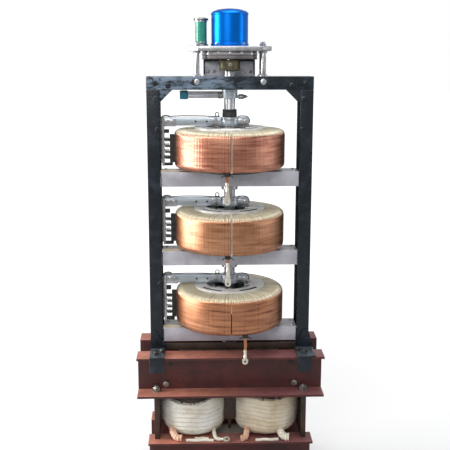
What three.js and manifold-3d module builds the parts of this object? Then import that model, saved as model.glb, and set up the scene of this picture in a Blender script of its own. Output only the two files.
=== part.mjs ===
// Motor-driven three-gang variable autotransformer on a buck-boost transformer.
// Millimetres, +Z up. The origin is on the floor, under the shaft that turns the three brush arms.
import * as THREE from "three";
import { mergeVertices } from "three/addons/utils/BufferGeometryUtils.js";
import Module from "manifold-3d";

const wasm = await Module();
wasm.setup();

// ---- Driving dimensions ----

const seatGap = 0.3; // between a piece and the seat it is fitted to
const runningGap = 0.5; // round a shaft or a guide pin
const through = 1; // how far a cutting body runs out past the face it cuts

// Buck-boost transformer: a two-limb core between four channels
const channelHeight = 116;
const channelFlange = 62;
const channelWall = 6;
const baseOverhang = 17; // of the base channels past the side posts
const yokeOverhang = 36; // of the yoke channels past the frame
const windowHeight = 134; // between the base channels and the yoke channels
const coreDepth = 92;
const limbWidth = 80;
const windowDrop = 14; // of the core's window past the channels, at top and bottom
const coilWall = 33;
const coilApart = 17.5; // between the two coils
const coilGap = 4; // between a coil and the channel above or below it
const coilPostGap = 1.7; // between a coil and its side post
const coilRound = 12;
const postWidth = 14;
const postDepth = 160;
const yokeBoltDiameter = 12;
const yokeBoltHead = 19;
const yokeBoltHeadThick = 8;
const yokeBoltOffset = 37; // outwards from the end of the core
const yokeBoltRise = 22; // above the bottom of a channel

// Frame: two channel legs and a channel beam
const legGap = 4; // between a leg and the brush holders that pass it
const frameDepth = 75;
const frameFlange = 35;
const frameWall = 5;
const footThick = 6;
const footWidth = 40;
const footLip = 40;
const gussetLeg = 34;
const gussetLap = 24; // how far a gusset reaches behind the beam and the leg
const gussetThick = 4;

// Gangs
const gangCount = 3;
const shelfLift = 65; // from the yoke channels to the top of the lowest shelf
const gangGap = 35; // between a brush arm and the shelf over it
const headGap = 51; // between the highest brush arm and the limit arm
const shelfHeight = 40;
const shelfWall = 3;
const hubFlangeRadius = 100;
const hubFlangeThick = 8;
const hubGap = 6; // between the hub's tube and the winding's bore
const hubWall = 16;
const windingRadius = 150;
const windingBore = 64;
const windingHeight = 105;
const windingRound = 16;
const windingInnerRound = 6;
const windingThick = 7;
const windingSlot = 4; // the unwound gap between the first turn and the last
const clampRadius = 98;
const clampWidth = 34;
const clampThick = 6;
const clampLugs = 3;
const clampLugWidth = 24;
const tapWidth = 8;
const tapThick = 2.4;
const tapTail = 32;
const lugWidth = 16;
const lugLength = 52;
const lugHole = 6;
const tapOffsets = [38, -9, -11]; // from the middle of the front, lowest gang first
const tapInset = 22; // from the outside of the winding

// Rotor
const shaftDiameter = 30;
const shaftTail = 20; // below the lowest shelf
const armHeight = 22;
const armThick = 14;
const armGap = 3; // over the clamp ring
const armBossWall = 10;
const armTail = 50;
const holderThick = 6;
const holderWidth = 24;
const holderRise = 14; // above the shelf
const brushHeight = 76;
const brushWidth = 14;
const brushDepth = 12;
const springGap = 14.7; // between the brush and its holder, for the springs
const pinDiameter = 6;
const pinPitch = 48;
const pinInset = 1; // of a pin's end inside its hole

// Limit gear: a clamped arm under the beam, and a nose and two switches inside the beam
const limitArmGap = 25; // between the limit arm and the gussets
const limitArmHeight = 18;
const limitArmThick = 5;
const limitSleeveWall = 6;
const limitDrop = 5; // below the beam
const clampScrewReach = 42;
const clampScrewDiameter = 8;
const noseLap = 4.5; // of the nose over a lever
const noseWidth = 8;
const noseHeight = 8;
const noseGap = 4; // between the nose and the switches over it
const switchWidth = 24;
const switchDepth = 8;
const switchHeight = 13;
const switchApart = 2; // between the two switches
const leverThick = 2;
const leverWidth = 6;
const leverLength = 13;
const leverGap = 4; // between the two levers

// Drive head on the beam
const plateEndMargin = 15; // past the resistor
const plateSideMargin = 3; // past the motor
const plateThick = 12;
const plateChamfer = 26;
const standoffDiameter = 14;
const standoffInset = 22; // from the end of the motor plate
const standoffEdge = 10.5; // from the side of the beam
const gearCaseLength = 146;
const gearCaseDepth = 80;
const gearCaseHeight = 22;
const bracketWidth = 140;
const bracketGap = 2; // between the coupling and the bracket's wall
const bracketThick = 3;
const bracketFoot = 6;
const couplingDiameter = 56;
const couplingHeight = 27;
const couplingLift = 15; // above the beam
const couplingLap = 14; // of the main shaft inside the coupling
const couplingGap = 2; // between the coupling and the gear case
const motorShaftDiameter = 12;
const motorDiameter = 98;
const motorHeight = 97;
const motorDome = 7;
const motorRound = 8;
const motorEars = 4;
const motorEar = 12;
const motorEarThick = 5;
const resistorGap = 8; // between the resistor and the motor
const resistorDiameter = 30;
const resistorFlange = 38;
const resistorFlangeThick = 5;
const resistorHeight = 72;

// Sides of round pieces, and steps round a rounded corner
const sidesLarge = 48;
const sidesMedium = 32;
const sidesSmall = 24;
const sidesPin = 12;
const sidesHexagon = 6;
const roundSteps = 3;

// ---- Places worked out from them ----

// Each gang stacks up from its shelf
const clampTopRise = hubFlangeThick + windingHeight + clampThick;
const armRise = clampTopRise + armGap;
const holderTop = armRise + armHeight;
const gangPitch = holderTop + gangGap + shelfHeight;

// Outwards from the shaft
const shaftRadius = shaftDiameter / 2;
const boreRadius = shaftRadius + runningGap;
const armBossRadius = shaftRadius + armBossWall;
const limitSleeveRadius = shaftRadius + limitSleeveWall;
const hubRadius = windingBore - hubGap;
const tapRadius = windingRadius - tapInset;
const brushFace = windingRadius + seatGap;
const holderInner = brushFace + brushDepth + springGap;
const holderRadius = holderInner + holderThick;
const legInner = holderRadius + legGap;
const frameHalf = legInner + frameFlange;
const frameWidth = 2 * frameHalf;
const limitArmReach = legInner - gussetLeg - limitArmGap;

// Across the transformer
const webInner = coreDepth / 2;
const toe = webInner + channelFlange;
const coilBore = Math.hypot(limbWidth / 2, coreDepth / 2) + seatGap;
const coilRadius = coilBore + coilWall;
const limbPitch = 2 * coilRadius + coilApart;
const coreHalf = (limbPitch + limbWidth) / 2;
const coreHole = (limbPitch - limbWidth) / 2;
const coreInset = channelHeight - limbWidth - windowDrop;
const postOffset = limbPitch / 2 + coilRadius + coilPostGap + postWidth / 2;
const baseLength = 2 * (postOffset + postWidth / 2 + baseOverhang);
const yokeLength = frameWidth + 2 * yokeOverhang;
const yokeBoltPitch = 2 * (coreHalf + yokeBoltOffset);

// Upwards from the floor
const yokeBottom = channelHeight + windowHeight;
const yokeTop = yokeBottom + channelHeight;
const legBottom = yokeTop + footThick;
const lowestShelf = yokeTop + shelfLift;
const limitBottom = lowestShelf + (gangCount - 1) * gangPitch + holderTop + headGap;
const limitTop = limitBottom + limitArmHeight;
const beamBottom = limitTop + limitDrop;
const frameTop = beamBottom + frameFlange;
const switchTop = frameTop - frameWall;
const switchBottom = switchTop - switchHeight;
const noseTop = switchBottom - noseGap;
const couplingBottom = frameTop + couplingLift;
const couplingTop = couplingBottom + couplingHeight;
const gearCaseBottom = couplingTop + couplingGap;
const plateBottom = gearCaseBottom + gearCaseHeight;
const plateTop = plateBottom + plateThick;

// Inside the beam and on it
const switchBack = frameDepth / 2 - frameWall;
const leverFront = switchBack - switchDepth;
const noseReach = leverFront + noseLap;
const bracketFront = couplingDiameter / 2 + bracketGap;
const resistorOffset = motorDiameter / 2 + resistorGap + resistorFlange / 2;
const plateHalf = resistorOffset + resistorFlange / 2 + plateEndMargin;
const plateDepth = motorDiameter + 2 * plateSideMargin;
const standoffX = plateHalf - standoffInset;
const standoffY = frameDepth / 2 - standoffEdge;

// ---- Finishes ----

function finish(color, roughness, metalness) {
  return () => new THREE.MeshStandardMaterial({ color, roughness, metalness });
}

const redOxide = finish(0x5a2a22, 0.55, 0.1);
const blackPaint = finish(0x12161a, 0.3, 0.1);
const shelfZinc = finish(0x8f9298, 0.45, 0.7);
const steelCore = finish(0x34363a, 0.6, 0.5);
const copperTurns = finish(0xc27a4e, 0.35, 0.9);
const cottonTape = finish(0xe6dfce, 0.9, 0);
const zincSteel = finish(0xa9adb1, 0.35, 0.9);
const clampGrey = finish(0xb9b8b2, 0.5, 0.4);
const hubGreen = finish(0x16382f, 0.6, 0);
const armAluminium = finish(0xa6acb2, 0.4, 0.8);
const carbonBlack = finish(0x1c1b1b, 0.8, 0);
const tinnedCopper = finish(0xd6d3cc, 0.35, 0.9);
const brassCoupling = finish(0x7d774c, 0.45, 0.8);
const blueEnamel = finish(0x0a63b8, 0.15, 0.2);
const greenEnamel = finish(0x3d9678, 0.25, 0);
const tealPlastic = finish(0x2b8fa6, 0.4, 0);

// ---- Shaping ----

function solidOf(geometry) {
  const bare = geometry.clone();
  bare.deleteAttribute("normal");
  bare.deleteAttribute("uv");
  const merged = mergeVertices(bare, 1e-4);
  return new wasm.Manifold(
    new wasm.Mesh({
      numProp: 3,
      vertProperties: new Float32Array(merged.attributes.position.array),
      triVerts: new Uint32Array(merged.index.array),
    }),
  );
}

function geometryOf(solid) {
  const mesh = solid.getMesh();
  const geometry = new THREE.BufferGeometry();
  geometry.setAttribute("position", new THREE.BufferAttribute(mesh.vertProperties, 3));
  geometry.setIndex(new THREE.BufferAttribute(mesh.triVerts, 1));
  geometry.computeVertexNormals();
  return geometry;
}

function join(...geometries) {
  return geometryOf(geometries.map(solidOf).reduce((whole, next) => whole.add(next)));
}

function cut(geometry, ...cutters) {
  return geometryOf(cutters.map(solidOf).reduce((rest, next) => rest.subtract(next), solidOf(geometry)));
}

// A block between two corners.
function block(x0, x1, y0, y1, z0, z1) {
  const box = new THREE.BoxGeometry(x1 - x0, y1 - y0, z1 - z0);
  return box.translate((x0 + x1) / 2, (y0 + y1) / 2, (z0 + z1) / 2);
}

// An upright round bar on the Z axis, or at x, y.
function bar(radius, z0, z1, sides, x = 0, y = 0) {
  const cylinder = new THREE.CylinderGeometry(radius, radius, z1 - z0, sides);
  return cylinder.rotateX(Math.PI / 2).translate(x, y, (z0 + z1) / 2);
}

// A bore that a round piece of that radius turns in: its flats stay clear of the piece's corners.
function bore(radius, z0, z1, sides, x = 0, y = 0) {
  return bar(radius / Math.cos(Math.PI / sides), z0, z1, sides, x, y);
}

// A profile of [radius, height] points, anticlockwise, turned about the Z axis.
function turned(points, sides) {
  const profile = points.map(([radius, height]) => new THREE.Vector2(radius, height));
  return new THREE.LatheGeometry(profile, sides).rotateX(Math.PI / 2);
}

// A closed ring section between two radii and two heights, with rounded corners.
function ringSection(inner, outer, z0, z1, innerRound, outerRound, steps) {
  const corners = [
    [outer - outerRound, z0 + outerRound, outerRound, -Math.PI / 2],
    [outer - outerRound, z1 - outerRound, outerRound, 0],
    [inner + innerRound, z1 - innerRound, innerRound, Math.PI / 2],
    [inner + innerRound, z0 + innerRound, innerRound, Math.PI],
  ];
  const points = [];
  for (const [r, z, round, start] of corners) {
    const count = round > 0 ? (round === outerRound ? steps : Math.ceil(steps / 2)) : 0;
    for (let i = 0; i <= count; i++) {
      const angle = start + (count ? (i / count) * (Math.PI / 2) : 0);
      points.push([r + round * Math.cos(angle), z + round * Math.sin(angle)]);
    }
  }
  points.push(points[0]);
  return points;
}

// An outline of [across, up] points, with round holes as [across, up, radius], made into a plate.
function plateShape(points, holes = []) {
  const shape = new THREE.Shape(points.map(([u, v]) => new THREE.Vector2(u, v)));
  for (const [u, v, radius] of holes) {
    shape.holes.push(new THREE.Path().absarc(u, v, radius, 0, 2 * Math.PI, true));
  }
  return shape;
}

function extruded(shape, depth, across, up, along) {
  const geometry = new THREE.ExtrudeGeometry(shape, { depth, bevelEnabled: false, curveSegments: sidesPin });
  return geometry.applyMatrix4(new THREE.Matrix4().makeBasis(across, up, along));
}

const axisX = new THREE.Vector3(1, 0, 0);
const axisY = new THREE.Vector3(0, 1, 0);
const axisZ = new THREE.Vector3(0, 0, 1);

// A [y, z] outline that runs along X, centred on the YZ plane.
function alongX(shape, length) {
  return extruded(shape, length, axisY, axisZ, axisX).translate(-length / 2, 0, 0);
}

// An [x, z] outline that runs along Y from y0 to y1.
function alongY(shape, y0, y1) {
  return extruded(shape, y1 - y0, axisX, axisZ, axisY.clone().negate()).translate(0, y1, 0);
}

// The outline of a channel section: a web of that height at u = 0, flanges towards +u.
function channelOutline(height, flange, wall) {
  return [
    [0, 0],
    [flange, 0],
    [flange, wall],
    [wall, wall],
    [wall, height - wall],
    [flange, height - wall],
    [flange, height],
    [0, height],
  ];
}

const object = new THREE.Group();

function add(name, geometry, material, x = 0, y = 0, z = 0) {
  const mesh = new THREE.Mesh(geometry, material());
  mesh.name = name;
  mesh.position.set(x, y, z);
  object.add(mesh);
}

const sides = { left: -1, right: 1 };
const faces = { front: -1, rear: 1 };

// ---- Buck-boost transformer ----

// A channel with its web against the core, its flanges outwards, and its bolt holes through the web.
function coreChannel(length, direction) {
  const outline = channelOutline(channelHeight, channelFlange, channelWall);
  const shape = plateShape(outline.map(([u, v]) => [direction * (webInner + u), v]));
  const radius = yokeBoltDiameter / 2 + runningGap;
  const across = direction * (webInner + channelWall / 2);
  const holes = Object.values(sides).map((side) =>
    new THREE.CylinderGeometry(radius, radius, channelWall + 2 * through, sidesSmall).translate(
      (side * yokeBoltPitch) / 2,
      across,
      yokeBoltRise,
    ),
  );
  return cut(alongX(shape, length), ...holes);
}

for (const [face, direction] of Object.entries(faces)) {
  add(`base_channel_${face}`, coreChannel(baseLength, direction), redOxide);
  add(`yoke_channel_${face}`, coreChannel(yokeLength, direction), redOxide, 0, 0, yokeBottom);
}

// The core is a frame of laminations: two limbs joined by two yokes.
function transformerCore() {
  const low = coreInset + limbWidth;
  const high = yokeTop - coreInset - limbWidth;
  const frame = block(-coreHalf, coreHalf, -webInner, webInner, coreInset, yokeTop - coreInset);
  return cut(frame, block(-coreHole, coreHole, -webInner - through, webInner + through, low, high));
}

add("transformer_core", transformerCore(), steelCore);

for (const [side, direction] of Object.entries(sides)) {
  const section = ringSection(
    coilBore / Math.cos(Math.PI / sidesMedium),
    coilRadius,
    coilGap,
    windowHeight - coilGap,
    0,
    coilRound,
    roundSteps,
  );
  const coil = turned(section, sidesMedium);
  add(`coil_${side}`, coil, cottonTape, (direction * limbPitch) / 2, 0, channelHeight);
  add(
    `side_post_${side}`,
    block(-postWidth / 2, postWidth / 2, -postDepth / 2, postDepth / 2, 0, windowHeight),
    redOxide,
    direction * postOffset,
    0,
    channelHeight,
  );
}

// A long bolt through both webs: a hexagon head in front, a nut behind.
function yokeBolt() {
  const across = webInner + channelWall + seatGap;
  const radius = yokeBoltDiameter / 2;
  const rod = new THREE.CylinderGeometry(radius, radius, 2 * (across + yokeBoltHeadThick), sidesSmall);
  const heads = Object.values(faces).map((direction) => {
    const half = yokeBoltHead / 2;
    const head = new THREE.CylinderGeometry(half, half, yokeBoltHeadThick, sidesHexagon);
    return head.translate(0, direction * (across + yokeBoltHeadThick / 2), 0);
  });
  return join(rod, ...heads);
}

for (const [side, direction] of Object.entries(sides)) {
  const across = (direction * yokeBoltPitch) / 2;
  add(`yoke_bolt_${side}`, yokeBolt(), zincSteel, across, 0, yokeBottom + yokeBoltRise);
}

// ---- Frame ----

// A foot lies across both yoke channels, and is folded down over their toes.
function foot(direction) {
  const outline = [
    [-toe - footThick, -footLip],
    [-toe, -footLip],
    [-toe, 0],
    [toe, 0],
    [toe, -footLip],
    [toe + footThick, -footLip],
    [toe + footThick, footThick],
    [-toe - footThick, footThick],
  ];
  const across = direction * (frameHalf - footWidth / 2);
  return alongX(plateShape(outline), footWidth).translate(across, 0, yokeTop);
}

// A leg is an upright channel with its web outside.
function leg(direction) {
  const half = frameDepth / 2;
  const outline = channelOutline(frameDepth, frameFlange, frameWall);
  const shape = plateShape(outline.map(([u, v]) => [direction * (frameHalf - u), v - half]));
  const height = beamBottom - legBottom;
  return new THREE.ExtrudeGeometry(shape, { depth: height, bevelEnabled: false }).translate(0, 0, legBottom);
}

for (const [side, direction] of Object.entries(sides)) {
  add(`foot_${side}`, foot(direction), blackPaint);
  add(`leg_${side}`, leg(direction), blackPaint);
}

// The beam is a channel with its web on top, and four gussets lapped behind its flanges.
function topBeam() {
  const half = frameDepth / 2;
  const outline = channelOutline(frameDepth, frameFlange, frameWall);
  const beam = alongX(plateShape(outline.map(([u, v]) => [v - half, frameTop - u])), frameWidth);
  const gussets = [];
  for (const side of Object.values(sides)) {
    for (const face of Object.values(faces)) {
      const back = face * (half - frameWall);
      const front = back - face * gussetThick;
      const lapUp = Math.min(gussetLap, frameFlange - frameWall);
      const plate = plateShape(
        [
          [legInner - gussetLeg, beamBottom + lapUp],
          [legInner - gussetLeg, beamBottom],
          [legInner, beamBottom - gussetLeg],
          [legInner + gussetLap, beamBottom - gussetLeg],
          [legInner + gussetLap, beamBottom + lapUp],
        ].map(([u, v]) => [side * u, v]),
      );
      gussets.push(alongY(plate, Math.min(back, front), Math.max(back, front)));
    }
  }
  return cut(join(beam, ...gussets), bore(boreRadius, beamBottom, frameTop + through, sidesSmall));
}

add("top_beam", topBeam(), blackPaint);

// ---- Gangs ----

// A shelf is a channel with its web on top, welded between the legs.
function shelf() {
  const half = frameDepth / 2;
  const outline = channelOutline(frameDepth, shelfHeight, shelfWall);
  const tray = alongX(plateShape(outline.map(([u, v]) => [v - half, -u])), 2 * legInner);
  return cut(tray, bore(boreRadius, -shelfHeight, through, sidesSmall));
}

// A hub centres the winding on its tube and lifts it off the shelf on its flange.
function hub() {
  const top = hubFlangeThick + windingHeight;
  const inner = hubRadius - hubWall;
  const points = [
    [inner, 0],
    [hubFlangeRadius, 0],
    [hubFlangeRadius, hubFlangeThick],
    [hubRadius, hubFlangeThick],
    [hubRadius, top],
    [inner, top],
    [inner, 0],
  ];
  return turned(points, sidesMedium);
}

// The winding is a shell of turns round the core, open at the gap in front.
function winding() {
  const shell = turned(
    ringSection(windingBore, windingRadius, 0, windingHeight, windingInnerRound, windingRound, roundSteps),
    sidesLarge,
  );
  const hollow = turned(
    ringSection(
      windingBore + windingThick,
      windingRadius - windingThick,
      windingThick,
      windingHeight - windingThick,
      0,
      0,
      roundSteps,
    ),
    sidesLarge,
  );
  const slotHalf = windingSlot / 2;
  const slot = block(-slotHalf, slotHalf, -windingRadius - through, 0, -through, windingHeight + through);
  return cut(shell, hollow, slot);
}

function windingCore() {
  const margin = windingThick + seatGap;
  const inner = (windingBore + margin) / Math.cos(Math.PI / sidesLarge);
  const outer = windingRadius - margin;
  return turned(ringSection(inner, outer, margin, windingHeight - margin, 0, 0, roundSteps), sidesLarge);
}

// A clamp ring holds the winding down, and its lugs reach in over the hub.
function clampRing() {
  const inner = clampRadius - clampWidth;
  const ring = turned(ringSection(inner, clampRadius, 0, clampThick, 0, 0, roundSteps), sidesMedium);
  const lugs = [];
  for (let i = 0; i < clampLugs; i++) {
    const half = clampLugWidth / 2;
    const lug = block(hubRadius - hubWall, inner + clampWidth / 2, -half, half, 0, clampThick);
    lugs.push(lug.rotateZ((2 * Math.PI * i) / clampLugs));
  }
  return join(ring, ...lugs);
}

// The arm is a flat bar on a boss that the shaft goes through.
function brushArm() {
  const boss = bar(armBossRadius, 0, armHeight, sidesSmall);
  const beam = block(-holderInner, armTail, -armThick / 2, armThick / 2, 0, armHeight);
  return cut(join(boss, beam), bore(shaftRadius + seatGap, -through, armHeight + through, sidesSmall));
}

const brushMiddle = hubFlangeThick + windingHeight / 2;
const pinHeights = [brushMiddle - pinPitch / 2, brushMiddle + pinPitch / 2];

// Bars along X at the two guide-pin heights.
function pinBars(radius, x0, x1) {
  return pinHeights.map((height) =>
    new THREE.CylinderGeometry(radius, radius, x1 - x0, sidesPin)
      .rotateZ(Math.PI / 2)
      .translate((x0 + x1) / 2, 0, height),
  );
}

function brushHolder() {
  const plate = block(-holderRadius, -holderInner, -holderWidth / 2, holderWidth / 2, holderRise, holderTop);
  const holeRadius = (pinDiameter / 2 + seatGap) / Math.cos(Math.PI / sidesPin);
  return cut(plate, ...pinBars(holeRadius, -holderRadius - through, -holderInner + through));
}

// The brush block slides out on two guide pins.
function carbonBrush() {
  const low = brushMiddle - brushHeight / 2;
  const back = brushFace + brushDepth;
  const face = block(-back, -brushFace, -brushWidth / 2, brushWidth / 2, low, low + brushHeight);
  return join(face, ...pinBars(pinDiameter / 2, -holderRadius + pinInset, -back + through));
}

// A tap is a flat copper tail with a long crimped lug.
function tap() {
  const half = tapWidth / 2;
  const lugHalf = lugWidth / 2;
  const holeHeight = -tapTail - lugLength + lugHalf;
  const shape = new THREE.Shape();
  shape.moveTo(-half, -seatGap);
  shape.lineTo(-half, -tapTail);
  shape.lineTo(-lugHalf, -tapTail - lugHalf);
  shape.lineTo(-lugHalf, holeHeight);
  shape.absarc(0, holeHeight, lugHalf, Math.PI, 2 * Math.PI, false);
  shape.lineTo(lugHalf, -tapTail - lugHalf);
  shape.lineTo(half, -tapTail);
  shape.lineTo(half, -seatGap);
  shape.holes.push(new THREE.Path().absarc(0, holeHeight, lugHole / 2, 0, 2 * Math.PI, true));
  return alongY(shape, -tapThick / 2, tapThick / 2);
}

const gangNames = ["lower", "middle", "upper"];
for (let i = 0; i < gangCount; i++) {
  const gang = gangNames[i];
  const height = lowestShelf + i * gangPitch;
  add(`shelf_${gang}`, shelf(), shelfZinc, 0, 0, height);
  add(`hub_${gang}`, hub(), hubGreen, 0, 0, height);
  add(`winding_${gang}`, winding(), copperTurns, 0, 0, height + hubFlangeThick);
  add(`winding_core_${gang}`, windingCore(), steelCore, 0, 0, height + hubFlangeThick);
  add(`clamp_ring_${gang}`, clampRing(), clampGrey, 0, 0, height + hubFlangeThick + windingHeight);
  add(`brush_arm_${gang}`, brushArm(), armAluminium, 0, 0, height + armRise);
  add(`brush_holder_${gang}`, brushHolder(), zincSteel, 0, 0, height);
  add(`carbon_brush_${gang}`, carbonBrush(), carbonBlack, 0, 0, height);
  add(`tap_${gang}`, tap(), tinnedCopper, tapOffsets[i], -tapRadius, height + hubFlangeThick);
}

// ---- Rotor ----

const shaftTop = couplingBottom + couplingLap;
add("main_shaft", bar(shaftRadius, lowestShelf - shelfHeight - shaftTail, shaftTop, sidesSmall), zincSteel);

function coupling() {
  const body = bar(couplingDiameter / 2, couplingBottom, couplingTop, sidesMedium);
  return cut(
    body,
    bore(shaftRadius + seatGap, couplingBottom - through, shaftTop + seatGap, sidesSmall),
    bore(motorShaftDiameter / 2 + seatGap, shaftTop, couplingTop + through, sidesSmall),
  );
}

add("coupling", coupling(), brassCoupling);
const motorShaftBottom = shaftTop + 2 * seatGap;
const motorShaft = bar(motorShaftDiameter / 2, motorShaftBottom, plateBottom - runningGap, sidesSmall);
add("motor_shaft", motorShaft, zincSteel);

// The limit arm's sleeve is clamped on the shaft: a long arm and a clamp screw under the beam,
// and a short nose inside it.
function limitArm() {
  const sleeve = bar(limitSleeveRadius, limitBottom, noseTop, sidesSmall);
  const arm = block(-limitArmReach, 0, -limitArmThick / 2, limitArmThick / 2, limitBottom, limitTop);
  const nose = block(0, noseReach, -noseWidth / 2, noseWidth / 2, noseTop - noseHeight, noseTop);
  const screwRadius = clampScrewDiameter / 2;
  const screw = new THREE.CylinderGeometry(screwRadius, screwRadius, clampScrewReach, sidesPin)
    .rotateZ(Math.PI / 2)
    .translate(clampScrewReach / 2, 0, limitBottom + screwRadius);
  const hole = bore(shaftRadius + seatGap, limitBottom - through, noseTop + through, sidesSmall);
  return cut(join(sleeve, arm, nose, screw), hole);
}

add("limit_arm", limitArm(), zincSteel);

// Two limit switches under the beam's web, each with a sprung lever in the nose's way.
for (const [side, direction] of Object.entries(sides)) {
  const half = switchWidth / 2;
  const body = block(-half, half, leverFront, switchBack, switchBottom, switchTop);
  add(`limit_switch_${side}`, body, tealPlastic, direction * (switchApart / 2 + half));
  const leverTop = switchBottom - seatGap;
  const lever = block(
    -leverThick / 2,
    leverThick / 2,
    leverFront,
    leverFront + leverWidth,
    leverTop - leverLength,
    leverTop,
  );
  add(`limit_lever_${side}`, lever, zincSteel, (direction * (leverGap + leverThick)) / 2);
}

// ---- Drive head ----

function motorPlate() {
  const x = plateHalf;
  const y = plateDepth / 2;
  const outline = [
    [-x, -y + plateChamfer],
    [-x + plateChamfer, -y],
    [x - plateChamfer, -y],
    [x, -y + plateChamfer],
    [x, y - plateChamfer],
    [x - plateChamfer, y],
    [-x + plateChamfer, y],
    [-x, y - plateChamfer],
  ];
  const slab = new THREE.ExtrudeGeometry(plateShape(outline), { depth: plateThick, bevelEnabled: false });
  return slab.translate(0, 0, plateBottom);
}

add("motor_plate", motorPlate(), zincSteel);

for (const [face, y] of Object.entries(faces)) {
  for (const [side, x] of Object.entries(sides)) {
    const post = bar(standoffDiameter / 2, frameTop, plateBottom, sidesPin);
    add(`standoff_${face}_${side}`, post, zincSteel, x * standoffX, y * standoffY);
  }
}

// The reduction gear case hangs under the plate, round at both ends.
function gearCase() {
  const radius = gearCaseDepth / 2;
  const run = gearCaseLength / 2 - radius;
  const shape = new THREE.Shape();
  shape.absarc(run, 0, radius, -Math.PI / 2, Math.PI / 2, false);
  shape.absarc(-run, 0, radius, Math.PI / 2, (3 * Math.PI) / 2, false);
  const body = new THREE.ExtrudeGeometry(shape, {
    depth: gearCaseHeight,
    bevelEnabled: false,
    curveSegments: sidesPin,
  });
  const standoffs = [];
  for (const x of Object.values(sides)) {
    for (const y of Object.values(faces)) {
      const clear = standoffDiameter / 2 + runningGap;
      const low = gearCaseBottom - through;
      const high = plateBottom + through;
      standoffs.push(bore(clear, low, high, sidesPin, x * standoffX, y * standoffY));
    }
  }
  return cut(
    body.translate(0, 0, gearCaseBottom),
    bore(motorShaftDiameter / 2 + runningGap, gearCaseBottom - through, plateBottom + through, sidesSmall),
    ...standoffs,
  );
}

add("gear_case", gearCase(), shelfZinc);

// The bracket is a wall behind the coupling, with a foot on the beam.
function driveBracket() {
  const half = bracketWidth / 2;
  const back = bracketFront + bracketThick;
  const wall = block(-half, half, bracketFront, back, frameTop, gearCaseBottom);
  const toeAt = bracketFront + bracketFoot;
  const sole = block(-half, half, bracketFront, toeAt, frameTop, frameTop + bracketThick);
  return join(wall, sole);
}

add("drive_bracket", driveBracket(), shelfZinc);

// The motor is a domed can on a flange with four ears.
function motor() {
  const radius = motorDiameter / 2;
  const shoulder = motorHeight - motorDome - motorRound;
  const points = [
    [0, 0],
    [radius, 0],
    [radius, shoulder],
    [radius - motorRound * (1 - Math.SQRT1_2), shoulder + motorRound * Math.SQRT1_2],
    [radius - motorRound, shoulder + motorRound],
    [radius / 2, motorHeight - motorDome / 4],
    [0, motorHeight],
  ];
  const ears = [];
  for (let i = 0; i < motorEars; i++) {
    const angle = ((2 * i + 1) * Math.PI) / motorEars;
    const at = [radius * Math.cos(angle), radius * Math.sin(angle)];
    ears.push(bar(motorEar / 2, 0, motorEarThick, sidesPin, ...at));
  }
  return join(turned(points, sidesMedium), ...ears);
}

add("motor", motor(), blueEnamel, 0, 0, plateTop);

function resistor() {
  const tube = resistorDiameter / 2;
  const flange = resistorFlange / 2;
  const upper = resistorHeight - resistorFlangeThick;
  const points = [
    [0, 0],
    [flange, 0],
    [flange, resistorFlangeThick],
    [tube, resistorFlangeThick],
    [tube, upper],
    [flange, upper],
    [flange, resistorHeight],
    [0, resistorHeight],
  ];
  return turned(points, sidesSmall);
}

add("resistor", resistor(), greenEnamel, -resistorOffset, 0, plateTop);

export default object;
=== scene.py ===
import math
import random

import bmesh
import bpy
from mathutils import Matrix, Vector, noise


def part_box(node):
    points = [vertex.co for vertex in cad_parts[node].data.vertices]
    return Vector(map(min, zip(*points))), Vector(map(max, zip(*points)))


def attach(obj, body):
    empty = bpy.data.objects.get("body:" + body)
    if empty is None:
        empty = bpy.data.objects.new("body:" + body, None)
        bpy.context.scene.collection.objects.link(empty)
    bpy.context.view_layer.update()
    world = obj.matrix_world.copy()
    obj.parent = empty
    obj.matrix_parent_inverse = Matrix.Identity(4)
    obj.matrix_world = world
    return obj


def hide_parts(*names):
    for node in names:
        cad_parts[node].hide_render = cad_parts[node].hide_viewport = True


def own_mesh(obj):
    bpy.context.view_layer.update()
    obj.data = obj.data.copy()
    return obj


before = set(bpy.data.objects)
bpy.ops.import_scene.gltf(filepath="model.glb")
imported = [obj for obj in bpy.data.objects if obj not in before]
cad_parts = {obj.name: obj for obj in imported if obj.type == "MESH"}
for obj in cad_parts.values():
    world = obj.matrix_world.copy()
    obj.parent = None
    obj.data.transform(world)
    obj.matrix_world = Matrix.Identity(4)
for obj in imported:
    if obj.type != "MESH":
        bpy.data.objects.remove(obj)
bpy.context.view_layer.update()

scene = bpy.context.scene
print("frame loaded")

# camera: about 2.2 m in front and a little to the left, level with the top beam, looking a little down
view = {"place": (-0.084, -2.178, 1.154), "pitch": 11.38, "yaw": -1.88, "lens": 64, "sensor": 36}
camData = bpy.data.cameras.new("camera")
camData.lens = view["lens"]
camData.sensor_width = view["sensor"]
cam = bpy.data.objects.new("camera", camData)
cam.location = view["place"]
cam.rotation_euler = (math.radians(90 - view["pitch"]), 0, math.radians(view["yaw"]))
scene.collection.objects.link(cam)
scene.camera = cam
scene.view_settings.view_transform = "Standard"

gangs = ["lower", "middle", "upper"]
faceSigns = {"front": -1, "rear": 1}
sideSigns = {"left": -1, "right": 1}


# node helpers for the finishes

def newFinish(name):
    mat = bpy.data.materials.new(name)
    mat.use_nodes = True
    nodes = mat.node_tree.nodes
    return mat, nodes, mat.node_tree.links, nodes["Principled BSDF"]


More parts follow.
